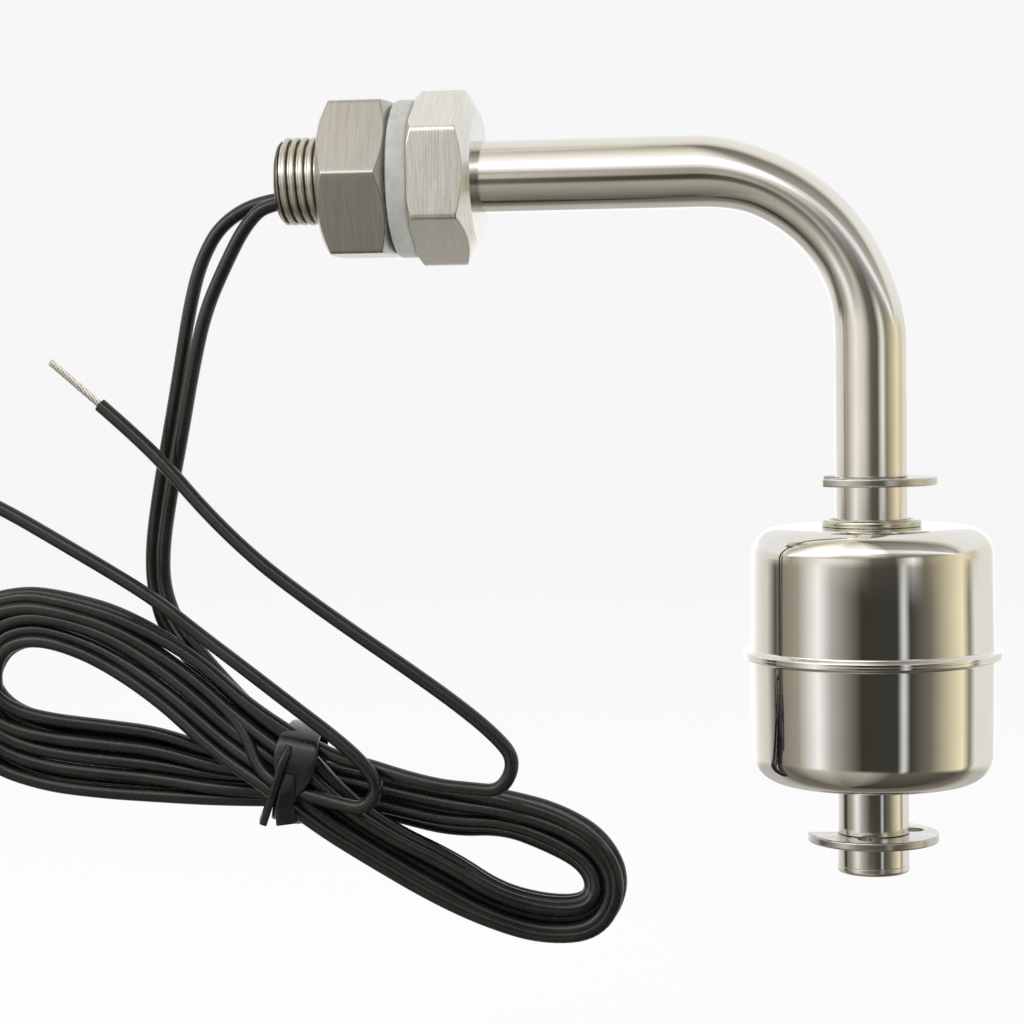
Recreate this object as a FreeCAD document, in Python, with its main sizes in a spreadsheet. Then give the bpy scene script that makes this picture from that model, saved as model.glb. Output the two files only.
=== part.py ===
import FreeCAD, Part
import math
import os

import Sketcher
from FreeCAD import Placement, Rotation, Vector

# Side-mount float level switch: a hollow M10 x 1 fitting with a hexagon head, a stem tube bent
# through a right angle, a float that slides on the hanging leg between two retaining clips, a
# reed switch inside the leg, and two single-core leads tied in a hank.
#
# Frame: millimetres. The origin is on the thread's axis in the head's sealing face. +X runs
# along the arm towards the bend, the thread points to -X, and the leg hangs down -Z.

doc = FreeCAD.newDocument("float_level_switch")

# ---------------------------------------------------------------------------------------------
# Driving dimensions
# ---------------------------------------------------------------------------------------------

DRIVING = [
    ("tube_diameter", 8.0, "outside diameter of the stem tube"),
    ("tube_wall", 1.0, "wall of the stem tube"),
    ("arm_reach", 50.05, "sealing face to the leg's axis"),
    ("bend_radius", 19.2, "centreline radius of the right-angle bend"),
    ("bend_flattening", 0.1, "share by which the bend is thinner in its own plane"),
    ("leg_drop", 77.8, "thread axis to the foot of the leg"),
    ("foot_rounding", 0.7, "rounded rim of the closed foot"),
    ("thread_diameter", 9.9, "crests of the M10 x 1 thread"),
    ("thread_length", 15.8, "sealing face to the thread's end"),
    ("fitting_bore", 7.0, "bore through the thread"),
    ("socket_depth", 4.5, "how far the tube is let into the head"),
    ("across_flats", 17.0, "hexagon of head and nut"),
    ("head_thickness", 6.8, "length of the hexagon head"),
    ("head_rim", 14.7, "turned circle on the head's outer face"),
    ("head_back_rim", 17.9, "turned circle on the head's sealing face"),
    ("nut_thickness", 7.9, "length of the lock nut"),
    ("nut_rim", 16.0, "turned circle on both faces of the nut"),
    ("thread_play", 0.05, "radial play between the thread and what turns on it"),
    ("gasket_diameter", 17.6, "outside diameter of the gasket"),
    ("gasket_thickness", 2.4, "thickness of the gasket"),
    ("seam_drop", 53.5, "thread axis to the float's seam"),
    ("float_diameter", 26.8, "outside diameter of the float at its seam"),
    ("float_end_diameter", 26.5, "outside diameter of the float near its ends"),
    ("float_length", 28.2, "height of the float over its two end faces"),
    ("float_knuckle", 3.1, "outside radius between side and end face"),
    ("float_wall", 0.4, "sheet of the float's shells"),
    ("bead_diameter", 28.5, "outside diameter of the seam's flange"),
    ("sleeve_diameter", 10.2, "outside diameter of the float's inner tube"),
    ("sleeve_bore", 9.2, "bore of the float's inner tube"),
    ("sleeve_lip", 0.8, "how far the inner tube stands out of each end face"),
    ("lip_diameter", 11.0, "rolled lip of the inner tube, over the shells' holes"),
    ("clip_diameter", 14.5, "outside diameter of the retaining clips"),
    ("clip_thickness", 0.9, "sheet of the retaining clips"),
    ("clip_groove", 7.0, "diameter at the bottom of the clips' grooves"),
    ("groove_width", 1.0, "width of the clips' grooves"),
    ("upper_clip_drop", 34.4, "thread axis to the middle of the upper clip"),
    ("lower_clip_drop", 73.9, "thread axis to the middle of the lower clip"),
    ("lead_diameter", 1.6, "single-core lead over its insulation"),
    ("core_diameter", 0.8, "tinned strands of the lead"),
]

sheet = doc.addObject("Spreadsheet::Sheet", "sizes")
for row, (alias, value, meaning) in enumerate(DRIVING, start=1):
    sheet.set(f"A{row}", meaning)
    sheet.set(f"B{row}", str(value))
    sheet.setAlias(f"B{row}", alias)
doc.recompute()


class Size:
    """A length that is known twice: its value now, and the expression that works it out."""

    def __init__(self, value, text=None):
        self.value = float(value)
        self.text = text if text is not None else repr(float(value))

    def _with(self, other, sign, value, turned=False):
        other = other if isinstance(other, Size) else Size(other)
        first, second = (other, self) if turned else (self, other)
        return Size(value(first.value, second.value), f"({first.text} {sign} {second.text})")

    def __add__(self, other):
        return self._with(other, "+", lambda a, b: a + b)

    def __radd__(self, other):
        return self._with(other, "+", lambda a, b: a + b, turned=True)

    def __sub__(self, other):
        return self._with(other, "-", lambda a, b: a - b)

    def __rsub__(self, other):
        return self._with(other, "-", lambda a, b: a - b, turned=True)

    def __mul__(self, other):
        return self._with(other, "*", lambda a, b: a * b)

    def __rmul__(self, other):
        return self._with(other, "*", lambda a, b: a * b, turned=True)

    def __truediv__(self, other):
        return self._with(other, "/", lambda a, b: a / b)

    def __neg__(self):
        return Size(-self.value, f"(-1 * {self.text})")


def driving(alias):
    return Size(sheet.get(alias), f"sizes.{alias}")


tube_r = driving("tube_diameter") / 2
tube_bore_r = tube_r - driving("tube_wall")
reach = driving("arm_reach")
bend_r = driving("bend_radius")
drop = driving("leg_drop")
thread_r = driving("thread_diameter") / 2
thread_length = driving("thread_length")
bore_r = driving("fitting_bore") / 2
head = driving("head_thickness")
gasket = driving("gasket_thickness")
nut = driving("nut_thickness")
lead_r = driving("lead_diameter") / 2
sleeve_r = driving("sleeve_diameter") / 2

CHAMFER_SLOPE = math.tan(math.radians(30))  # axial length of a turned chamfer per radius
WASTE_R = 12.0  # clear of every turned outside

pieces = {}


# ---------------------------------------------------------------------------------------------
# Helpers
# ---------------------------------------------------------------------------------------------


def keep(node, thing):
    """Give a finished sub-part its node's name."""
    thing.Label = node
    pieces[node] = thing
    return thing


def bind(thing, prop, size):
    thing.setExpression(prop, size.text if isinstance(size, Size) else repr(float(size)))


def new_body(node, at=(0.0, 0.0, 0.0), turn=None):
    """A body whose place is bound to the sheet; turn is a rotation about Z in degrees."""
    body = doc.addObject("PartDesign::Body", node)
    if turn is not None:
        body.Placement = Placement(Vector(), Rotation(Vector(0, 0, 1), turn))
    for axis, size in zip("xyz", at):
        bind(body, f"Placement.Base.{axis}", size)
    return keep(node, body)


def new_sketch(body, role, name):
    sketch = body.newObject("Sketcher::SketchObject", f"{body.Name}_{name}")
    origin = [f for f in body.Origin.OriginFeatures if f.Role == role][0]
    sketch.AttachmentSupport = [(origin, "")]
    sketch.MapMode = "FlatFace"
    return sketch


def pin_point(sketch, geometry, end, x, y):
    """Hold one end of a line at (x, y) from the sketch's origin, by driven distances."""
    for kind, size in (("DistanceX", x), ("DistanceY", y)):
        size = size if isinstance(size, Size) else Size(size)
        if abs(size.value) < 1e-9:
            axis = -2 if kind == "DistanceX" else -1
            sketch.addConstraint(Sketcher.Constraint("PointOnObject", geometry, end, axis))
            continue
        ends = (-1, 1, geometry, end) if size.value > 0 else (geometry, end, -1, 1)
        index = sketch.addConstraint(Sketcher.Constraint(kind, *ends, abs(size.value)))
        driven = size if size.value > 0 else -size
        sketch.setExpression(f"Constraints[{index}]", driven.text)


def polygon(sketch, corners):
    """A closed outline of straight lines through corners, each held by the sheet."""
    first = sketch.GeometryCount
    count = len(corners)
    flat = [
        Vector(*(c.value if isinstance(c, Size) else float(c) for c in corner), 0)
        for corner in corners
    ]
    for i in range(count):
        sketch.addGeometry(Part.LineSegment(flat[i], flat[(i + 1) % count]), False)
    for i in range(count):
        ends = (first + i, 2, first + (i + 1) % count, 1)
        sketch.addConstraint(Sketcher.Constraint("Coincident", *ends))
    for i, (x, y) in enumerate(corners):
        pin_point(sketch, first + i, 1, x, y)


def circle(sketch, radius, x=0.0, y=0.0):
    size = radius if isinstance(radius, Size) else Size(radius)
    centre = Vector(*(c.value if isinstance(c, Size) else float(c) for c in (x, y)), 0)
    index = sketch.addGeometry(Part.Circle(centre, Vector(0, 0, 1), size.value), False)
    held = sketch.addConstraint(Sketcher.Constraint("Radius", index, size.value))
    sketch.setExpression(f"Constraints[{held}]", size.text)
    pin_point(sketch, index, 3, x, y)


def hexagon(sketch, across_flats, corner_up):
    """A hexagon on the thread's axis, with a corner upwards or a flat upwards."""
    corner = across_flats / math.sqrt(3)
    half = corner / 2
    flat = across_flats / 2
    if corner_up:
        ring = [(0, corner), (flat, half), (flat, -half), (0, -corner), (-flat, -half), (-flat, half)]
    else:
        ring = [(corner, 0), (half, flat), (-half, flat), (-corner, 0), (-half, -flat), (half, -flat)]
    polygon(sketch, ring)


def pad(body, sketch, length, backwards=False):
    feature = body.newObject("PartDesign::Pad", f"{sketch.Name}_pad")
    feature.Profile = sketch
    bind(feature, "Length", length)
    feature.Reversed = backwards
    return feature


def pocket(body, sketch, length, backwards=False):
    """Cut a sketch through the body, and check that it did cut."""
    doc.recompute()
    before = body.Shape.Volume
    feature = body.newObject("PartDesign::Pocket", f"{sketch.Name}_pocket")
    feature.Profile = sketch
    bind(feature, "Length", length)
    feature.Midplane = True
    feature.Reversed = backwards
    doc.recompute()
    if not body.Shape.Volume < before - 1e-3:
        raise RuntimeError(f"{feature.Name} cuts nothing")
    return feature


def turn_profile(body, sketch, axis):
    feature = body.newObject("PartDesign::Revolution", f"{sketch.Name}_turned")
    feature.Profile = sketch
    feature.ReferenceAxis = (sketch, [axis])
    feature.Angle = 360
    return feature


def groove(body, sketch, axis):
    """Turn material away all round, and check that it did cut."""
    doc.recompute()
    before = body.Shape.Volume
    feature = body.newObject("PartDesign::Groove", f"{sketch.Name}_groove")
    feature.Profile = sketch
    feature.ReferenceAxis = (sketch, [axis])
    feature.Angle = 360
    doc.recompute()
    if not body.Shape.Volume < before - 1e-3:
        raise RuntimeError(f"{feature.Name} cuts nothing")
    return feature


def round_edges(body, radius, chosen):
    """Fillet the edges of the body's tip that the test picks."""
    doc.recompute()
    tip = body.Tip
    names = [f"Edge{i}" for i, edge in enumerate(tip.Shape.Edges, start=1) if chosen(edge)]
    if not names:
        raise RuntimeError(f"{body.Label} has no edge to round")
    feature = body.newObject("PartDesign::Fillet", f"{tip.Name}_rounded")
    feature.Base = (tip, names)
    bind(feature, "Radius", radius)
    return feature


def is_ring(edge, radius, height=None, axis="z"):
    """True for a full circle of this radius, at this height along its axis."""
    if not isinstance(edge.Curve, Part.Circle) or abs(edge.Curve.Radius - radius) > 0.01:
        return False
    return height is None or abs(getattr(edge.Curve.Center, axis) - height) < 0.01


def primitive(kind, name, sizes, at=(0.0, 0.0, 0.0), turn=None):
    """A Part primitive with its sizes and its place bound to the sheet."""
    thing = doc.addObject(kind, name)
    for prop, size in sizes.items():
        bind(thing, prop, size)
    if turn is not None:
        thing.Placement = Placement(Vector(), turn)
    for axis, size in zip("xyz", at):
        bind(thing, f"Placement.Base.{axis}", size)
    return thing


TO_X = Rotation(Vector(0, 1, 0), 90)  # a cylinder's own axis from Z to +X


def fuse(name, things):
    result = doc.addObject("Part::MultiFuse", name)
    result.Shapes = things
    result.Refine = True
    return result


def cut(name, base, tool):
    result = doc.addObject("Part::Cut", name)
    result.Base = base
    result.Tool = tool
    result.Refine = True
    return result


# ---------------------------------------------------------------------------------------------
# Fitting, nut and gasket
# ---------------------------------------------------------------------------------------------


def turned_corners(x_face, rim_r, direction):
    """The waste outside a 30 degree chamfer that starts at the circle rim_r on a face."""
    run = (WASTE_R - rim_r) * CHAMFER_SLOPE
    back = x_face - run if direction > 0 else x_face + run
    out = x_face + direction if direction > 0 else x_face - 1
    return [(x_face, rim_r), (out, rim_r), (out, WASTE_R), (back, WASTE_R)]


def make_threaded_fitting():
    """Hexagon head and hollow threaded shank, turned from one bar."""
    lead_in = 0.65  # 45 degree start of the thread
    relief_length = 1.2  # undercut where the thread meets the head
    relief_depth = 0.55
    body = new_body("threaded_fitting")

    bar = new_sketch(body, "YZ_Plane", "bar")
    hexagon(bar, driving("across_flats"), corner_up=True)
    pad(body, bar, head)

    shank = new_sketch(body, "YZ_Plane", "shank")
    circle(shank, thread_r)
    pad(body, shank, thread_length, backwards=True)

    turned = new_sketch(body, "XZ_Plane", "turned")
    polygon(turned, turned_corners(head, driving("head_rim") / 2, 1))
    polygon(turned, turned_corners(Size(0), driving("head_back_rim") / 2, -1)[:1]
            + [(-1.0, driving("head_back_rim") / 2), (-1.0, WASTE_R),
               ((WASTE_R - driving("head_back_rim") / 2) * CHAMFER_SLOPE, WASTE_R)])
    polygon(turned, [(-thread_length, thread_r - lead_in), (lead_in - thread_length, thread_r),
                     (lead_in - thread_length, thread_r + 1), (-thread_length - 1, thread_r + 1),
                     (-thread_length - 1, thread_r - lead_in)])
    polygon(turned, [(0, thread_r - relief_depth), (0, thread_r + 0.5),
                     (-relief_length, thread_r + 0.5), (-relief_length, thread_r - relief_depth)])
    groove(body, turned, "H_Axis")

    # the bore, its countersunk mouth, and the socket that takes the stem tube
    mouth = 0.3
    socket = head - driving("socket_depth")
    bored = new_sketch(body, "XZ_Plane", "bored")
    polygon(bored, [(-thread_length - 1, 0), (-thread_length - 1, bore_r + mouth + 1),
                    (mouth - thread_length, bore_r), (socket, bore_r), (socket, tube_r),
                    (head + 1, tube_r), (head + 1, 0)])
    groove(body, bored, "H_Axis")


def make_lock_nut():
    """Hexagon nut, chamfered on both faces, run up against the gasket."""
    rim_r = driving("nut_rim") / 2
    hole_r = thread_r + driving("thread_play")
    countersink = 0.5
    body = new_body("lock_nut", at=(-gasket, 0.0, 0.0))

    bar = new_sketch(body, "YZ_Plane", "bar")
    hexagon(bar, driving("across_flats"), corner_up=False)
    pad(body, bar, nut, backwards=True)

    run = (WASTE_R - rim_r) * CHAMFER_SLOPE
    turned = new_sketch(body, "XZ_Plane", "turned")
    polygon(turned, [(0, rim_r), (1, rim_r), (1, WASTE_R), (-run, WASTE_R)])
    polygon(turned, [(-nut, rim_r), (run - nut, WASTE_R), (-nut - 1, WASTE_R), (-nut - 1, rim_r)])
    groove(body, turned, "H_Axis")

    drilled = new_sketch(body, "XZ_Plane", "drilled")
    polygon(drilled, [(1, 0), (1, hole_r + countersink), (0, hole_r + countersink),
                      (-countersink, hole_r), (countersink - nut, hole_r),
                      (-nut, hole_r + countersink), (-nut - 1, hole_r + countersink), (-nut - 1, 0)])
    groove(body, drilled, "H_Axis")


def make_sealing_gasket():
    """Soft flat ring between the head and the wall."""
    outer_r = driving("gasket_diameter") / 2
    inner_r = thread_r + driving("thread_play")
    body = new_body("sealing_gasket")
    section = new_sketch(body, "XZ_Plane", "section")
    polygon(section, [(0, inner_r), (0, outer_r), (-gasket, outer_r), (-gasket, inner_r)])
    turn_profile(body, section, "H_Axis")
    round_edges(body, 0.45, lambda e: is_ring(e, outer_r.value))


# ---------------------------------------------------------------------------------------------
# Stem
# ---------------------------------------------------------------------------------------------

BEND_STATIONS = 13  # sections along the bend
FLATTEN_ANGLE = 25.0  # degrees of bend over which the tube goes from round to oval


def bend_section(name, angle, radius):
    """One oval section of the bend, across its centreline; round where the bend begins and ends."""
    ramp = min(1.0, angle / FLATTEN_ANGLE, (90.0 - angle) / FLATTEN_ANGLE)
    ramp = ramp * ramp * (3 - 2 * ramp)
    loss = driving("bend_flattening") * ramp
    across = Vector(0, 1, 0)
    inward = Vector(math.sin(math.radians(angle)), 0, math.cos(math.radians(angle)))
    # local x is the major axis, across the bend's plane; local y lies in the plane
    turn = Rotation(across, inward, Vector(), "XYZ")
    return primitive(
        "Part::Ellipse",
        name,
        {"MajorRadius": radius * (1 + loss * 0.3), "MinorRadius": radius * (1 - loss)},
        at=(
            reach - bend_r + bend_r * math.sin(math.radians(angle)),
            0.0,
            bend_r * math.cos(math.radians(angle)) - bend_r,
        ),
        turn=turn,
    )


def bent_rod(name, radius, x_start, z_end):
    """A solid rod that follows the stem: arm along X, oval bend, leg down Z."""
    arm_end = reach - bend_r
    arm = primitive("Part::Cylinder", f"{name}_arm", {"Radius": radius, "Height": arm_end - x_start},
                    at=(x_start, 0.0, 0.0), turn=TO_X)
    sections = []
    angles = [90.0 * i / (BEND_STATIONS - 1) for i in range(BEND_STATIONS)]
    for i, angle in enumerate(angles):
        sections.append(bend_section(f"{name}_section_{i}", angle, radius))
    bend = doc.addObject("Part::Loft", f"{name}_bend")
    bend.Sections = sections
    bend.Solid = True
    bend.Ruled = False
    leg = primitive("Part::Cylinder", f"{name}_leg", {"Radius": radius, "Height": -bend_r - z_end},
                    at=(reach, 0.0, z_end))
    return fuse(name, [arm, bend, leg])


PLUG_RIM = 0.8  # thickness of the plug's rim under the tube
PLUG_SPIGOT = 3.0  # length of the plug inside the tube


def plug_top_z():
    return PLUG_RIM + PLUG_SPIGOT - drop.value


def make_stem_tube():
    """Bent tube with two grooves turned in its leg for the retaining clips."""
    x_start = head - driving("socket_depth")
    z_end = PLUG_RIM - drop
    outside = bent_rod("stem_outside", tube_r, x_start, z_end)
    inside = bent_rod("stem_inside", tube_bore_r, x_start - 1, z_end - 1)
    rings = []
    for where in ("upper", "lower"):
        middle = driving(f"{where}_clip_drop")
        width = driving("groove_width")
        base = (reach, 0.0, -middle - width / 2)
        sizes = {"Radius": tube_r + 1, "Height": width}
        waste = primitive("Part::Cylinder", f"{where}_groove_waste", sizes, at=base)
        sizes = {"Radius": driving("clip_groove") / 2, "Height": width}
        core = primitive("Part::Cylinder", f"{where}_groove_core", sizes, at=base)
        rings.append(cut(f"{where}_groove_ring", waste, core))
    tool = fuse("stem_waste", [inside] + rings)
    keep("stem_tube", cut("stem_tube", outside, tool))


def make_stem_end_plug():
    """Turned plug that closes the leg's foot, welded flush and rounded."""
    body = new_body("stem_end_plug", at=(reach, 0.0, -drop))
    section = new_sketch(body, "XZ_Plane", "section")
    polygon(section, [(0, 0), (tube_r, 0), (tube_r, PLUG_RIM), (tube_bore_r, PLUG_RIM),
                      (tube_bore_r, PLUG_RIM + PLUG_SPIGOT), (0, PLUG_RIM + PLUG_SPIGOT)])
    turn_profile(body, section, "V_Axis")
    round_edges(body, driving("foot_rounding"), lambda e: is_ring(e, tube_r.value, 0.0))


MOUTH_HALF_ANGLE = 40.0  # degrees from the middle of a clip's mouth to either tip


def make_retaining_clip(node, middle, opening):
    """E-shaped clip pressed from sheet, snapped in its groove; opening is its mouth's direction."""
    outer_r = driving("clip_diameter") / 2
    inner_r = driving("clip_groove") / 2
    thick = driving("clip_thickness")
    notch_r = 1.3
    notch_at = 4.55
    notch_angle = 58.0  # from the middle of the closed side
    body = new_body(node, at=(reach, 0.0, -middle - thick / 2), turn=opening)

    blank = new_sketch(body, "XY_Plane", "blank")
    circle(blank, outer_r)
    circle(blank, inner_r)
    pad(body, blank, thick)

    # the mouth opens about local +X
    slope = math.tan(math.radians(MOUTH_HALF_ANGLE))
    mouth = new_sketch(body, "XY_Plane", "mouth")
    polygon(mouth, [(0, 0), (outer_r + 1, (outer_r + 1) * slope), (outer_r + 1, (outer_r + 1) * -slope)])
    pocket(body, mouth, thick * 4)

    notches = new_sketch(body, "XY_Plane", "notches")
    for side in (1, -1):
        angle = math.radians(180 + side * notch_angle)
        circle(notches, notch_r, notch_at * math.cos(angle), notch_at * math.sin(angle))
    pocket(body, notches, thick * 4)

    # round the outer corners of both tips, and break the rims that the press leaves
    def tip_corner(edge):
        a, b = edge.Vertexes[0].Point, edge.Vertexes[-1].Point
        upright = abs(a.x - b.x) < 1e-6 and abs(a.y - b.y) < 1e-6
        return upright and abs(math.hypot(a.x, a.y) - outer_r.value) < 0.01

    round_edges(body, 0.6, tip_corner)
    round_edges(body, 0.18, lambda e: isinstance(e.Curve, Part.Circle)
                and abs(e.Curve.Radius - outer_r.value) < 0.01 and e.Length > 5)


# ---------------------------------------------------------------------------------------------
# Float
# ---------------------------------------------------------------------------------------------


def make_float_shell(node, side):
    """Deep-drawn cup with a hole in its end face and a flange at its rim; side is +1 for the upper."""
    half = driving("float_length") / 2
    seam_r = driving("float_diameter") / 2
    end_r = driving("float_end_diameter") / 2
    wall = driving("float_wall")
    flange_r = driving("bead_diameter") / 2
    knuckle = driving("float_knuckle")
    flange = 0.45
    body = new_body(node, at=(reach, 0.0, -driving("seam_drop")))
    section = new_sketch(body, "XZ_Plane", "section")
    profile = [(sleeve_r, half), (end_r, half), (seam_r, flange), (flange_r, flange), (flange_r, 0),
               (seam_r - wall, 0), (end_r - wall, half - wall), (sleeve_r, half - wall)]
    polygon(section, [(x, y * side) for x, y in profile])
    turn_profile(body, section, "V_Axis")
    round_edges(body, knuckle, lambda e: is_ring(e, end_r.value, side * half.value))
    round_edges(body, knuckle - wall,
                lambda e: is_ring(e, end_r.value - wall.value, side * (half.value - wall.value)))
    round_edges(body, 0.4, lambda e: is_ring(e, flange_r.value, side * flange))
    round_edges(body, 0.3, lambda e: is_ring(e, seam_r.value, side * flange))


def make_float_inner_tube():
    """Tube through the float, with its two lips rolled over the shells' holes."""
    seat = driving("float_length") / 2
    half = seat + driving("sleeve_lip")
    inner_r = driving("sleeve_bore") / 2
    lip_r = driving("lip_diameter") / 2
    body = new_body("float_inner_tube", at=(reach, 0.0, -driving("seam_drop")))
    section = new_sketch(body, "XZ_Plane", "section")
    polygon(section, [(inner_r, half), (lip_r, half), (lip_r, seat), (sleeve_r, seat),
                      (sleeve_r, -seat), (lip_r, -seat), (lip_r, -half), (inner_r, -half)])
    turn_profile(body, section, "V_Axis")
    for side in (1, -1):
        round_edges(body, 0.38, lambda e: is_ring(e, lip_r.value, side * half.value))
        round_edges(body, 0.38, lambda e: is_ring(e, lip_r.value, side * seat.value))
        round_edges(body, 0.24, lambda e: is_ring(e, inner_r.value, side * half.value))


MAGNET_LENGTH = 6.0
RETAINER_THICKNESS = 0.8


def make_ring(node, inner_r, outer_r, bottom, length):
    """Plain turned ring on the float's axis; bottom is its height from the seam."""
    body = new_body(node, at=(reach, 0.0, bottom - driving("seam_drop")))
    section = new_sketch(body, "XZ_Plane", "section")
    polygon(section, [(inner_r, 0), (outer_r, 0), (outer_r, length), (inner_r, length)])
    turn_profile(body, section, "V_Axis")


def make_float():
    make_float_shell("float_upper_shell", 1)
    make_float_shell("float_lower_shell", -1)
    make_float_inner_tube()
    make_ring("ring_magnet", sleeve_r + 0.1, 9.5, -MAGNET_LENGTH / 2, MAGNET_LENGTH)
    for where, bottom in (("upper", MAGNET_LENGTH / 2), ("lower", -MAGNET_LENGTH / 2 - RETAINER_THICKNESS)):
        make_ring(f"magnet_retainer_{where}", sleeve_r, 7.2, bottom, RETAINER_THICKNESS)


# ---------------------------------------------------------------------------------------------
# Reed switch and wiring inside the stem
# ---------------------------------------------------------------------------------------------

REED_OFFSET = (-0.3, 1.2)  # the reed's place off the leg's axis, in X and Y
GLASS_LENGTH = 14.0
GLASS_R = 1.1
GLASS_BORE_R = 0.85
SEAL_LENGTH = 1.6  # solid glass at each end
BLADE_WIRE_R = 0.3
BLADE_REACH = 11.0  # centre of the reed to the end of each blade's wire
CONTACT_LAP = 0.6  # how far each blade passes the centre
CONTACT_GAP = 0.1
BLADE_WIDTH = 1.1
BLADE_THICKNESS = 0.2
JOINT_LENGTH = 1.5
SLEEVE_REACH = 9.0
SLEEVE_R = 1.35


def reed_place():
    return (reach + REED_OFFSET[0], Size(REED_OFFSET[1]), -driving("seam_drop"))


def make_reed_capsule():
    """Glass tube, fused round a wire at each end."""
    half = GLASS_LENGTH / 2
    inner = half - SEAL_LENGTH
    body = new_body("reed_capsule", at=reed_place())
    section = new_sketch(body, "XZ_Plane", "section")
    polygon(section, [(BLADE_WIRE_R, half), (GLASS_R, half), (GLASS_R, -half), (BLADE_WIRE_R, -half),
                      (BLADE_WIRE_R, -inner), (GLASS_BORE_R, -inner), (GLASS_BORE_R, inner),
                      (BLADE_WIRE_R, inner)])
    turn_profile(body, section, "V_Axis")
    round_edges(body, 0.5, lambda e: isinstance(e.Curve, Part.Circle)
                and abs(e.Curve.Radius - GLASS_R) < 0.01)


def make_reed_blade(node, side):
    """Springy blade: round wire through the glass, pressed flat inside; side is +1 for the upper."""
    flat_end = GLASS_LENGTH / 2 - SEAL_LENGTH
    gap = (CONTACT_GAP + BLADE_THICKNESS) / 2 * side
    body = new_body(node, at=reed_place())
    wire = new_sketch(body, "XZ_Plane", "wire")
    polygon(wire, [(0, side * (flat_end - 0.2)), (BLADE_WIRE_R, side * (flat_end - 0.2)),
                   (BLADE_WIRE_R, side * BLADE_REACH), (0, side * BLADE_REACH)])
    turn_profile(body, wire, "V_Axis")
    flat = new_sketch(body, "YZ_Plane", "flat")
    polygon(flat, [(gap - BLADE_THICKNESS / 2, -side * CONTACT_LAP),
                   (gap + BLADE_THICKNESS / 2, -side * CONTACT_LAP),
                   (gap + BLADE_THICKNESS / 2, side * flat_end),
                   (gap - BLADE_THICKNESS / 2, side * flat_end)])
    feature = pad(body, flat, BLADE_WIDTH)
    feature.Midplane = True


def make_reed_sleeve():
    """Shrunk insulating sleeve over the glass."""
    body = new_body("reed_sleeve", at=reed_place())
    section = new_sketch(body, "XZ_Plane", "section")
    inner = GLASS_R + 0.02
    polygon(section, [(inner, SLEEVE_REACH), (SLEEVE_R, SLEEVE_REACH), (SLEEVE_R, -SLEEVE_REACH),
                      (inner, -SLEEVE_REACH)])
    turn_profile(body, section, "V_Axis")


def make_solder_joint(node, side):
    """Bead of solder between a blade's wire and its lead."""
    body = new_body(node, at=reed_place())
    section = new_sketch(body, "XZ_Plane", "section")
    near, far = side * BLADE_REACH, side * (BLADE_REACH + JOINT_LENGTH)
    belly = side * (BLADE_REACH + JOINT_LENGTH / 2)
    polygon(section, [(0, near), (0.4, near), (0.7, belly), (0.4, far), (0, far)])
    turn_profile(body, section, "V_Axis")


# ---------------------------------------------------------------------------------------------
# Leads
# ---------------------------------------------------------------------------------------------


def lead_path(points, name):
    """Straight runs joined by tangent arcs, each as large as its two runs allow."""
    arcs = []
    for before, corner, after in zip(points, points[1:], points[2:]):
        back, on = before - corner, after - corner
        shorter = min(back.Length, on.Length)
        half_turn = (math.pi - back.getAngle(on)) / 2
        tangent = 0.45 * shorter
        radius = tangent / math.tan(half_turn)
        start = corner + back.normalize() * tangent
        end = corner + on.normalize() * tangent
        towards = (start + end) * 0.5 - corner
        to_centre = math.hypot(radius, tangent)
        middle = corner + towards.normalize() * (to_centre - radius)
        arcs.append((start, middle, end, radius))
    edges = []
    at = points[0]
    for start, middle, end, radius in arcs:
        edges.append(Part.LineSegment(at, start).toShape())
        edges.append(Part.Arc(start, middle, end).toShape())
        at = end
    edges.append(Part.LineSegment(at, points[-1]).toShape())
    radii = ", ".join(f"{arc[3]:.1f}" for arc in arcs)
    length = sum(edge.Length for edge in edges)
    print(f"{name}: {length:.1f} mm, radii {radii}")
    return Part.Wire(edges)


def round_wire(path, radius, name):
    """Sweep a disc along a path, and compare the volume with section times length."""
    start = path.OrderedVertexes[0].Point
    ahead = path.OrderedEdges[0].tangentAt(path.OrderedEdges[0].FirstParameter)
    disc = Part.Wire([Part.Circle(start, ahead, radius).toShape()])
    solid = path.makePipeShell([disc], True, False)
    expected = math.pi * radius**2 * path.Length
    if abs(solid.Volume - expected) > 0.01 * expected:
        raise RuntimeError(f"{name} has volume {solid.Volume:.2f}, not {expected:.2f}")
    return solid


def make_lead(node, points):
    points = [Vector(*point) for point in points]
    feature = doc.addObject("Part::Feature", node)
    feature.Shape = round_wire(lead_path(points, node), lead_r.value, node)
    feature.Placement = Placement()
    return keep(node, feature)


PLUG_FACE = 1.0  # how far the potting stands back from the thread's end
PLUG_DEPTH = 3.5
LEAD_HOLES = {"lead_1": (1.0, -1.5), "lead_2": (-1.0, -2.1)}  # Y and Z where each lead comes out


def plug_inner_x():
    return -(thread_length.value - PLUG_FACE - PLUG_DEPTH)


def make_potting_plug():
    """Cast resin that seals the thread's end, round both leads."""
    start = PLUG_FACE - thread_length
    disc = primitive("Part::Cylinder", "potting_disc", {"Radius": bore_r, "Height": PLUG_DEPTH},
                     at=(start, 0.0, 0.0), turn=TO_X)
    holes = []
    for name, (y, z) in LEAD_HOLES.items():
        sizes = {"Radius": lead_r, "Height": PLUG_DEPTH + 2}
        holes.append(primitive("Part::Cylinder", f"{name}_hole", sizes, at=(start - 1, y, z), turn=TO_X))
    keep("potting_plug", cut("potting_plug", disc, fuse("lead_holes", holes)))


ARM_LIFT = -1.3  # both leads lie low in the arm, and on the inside of the bend


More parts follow.
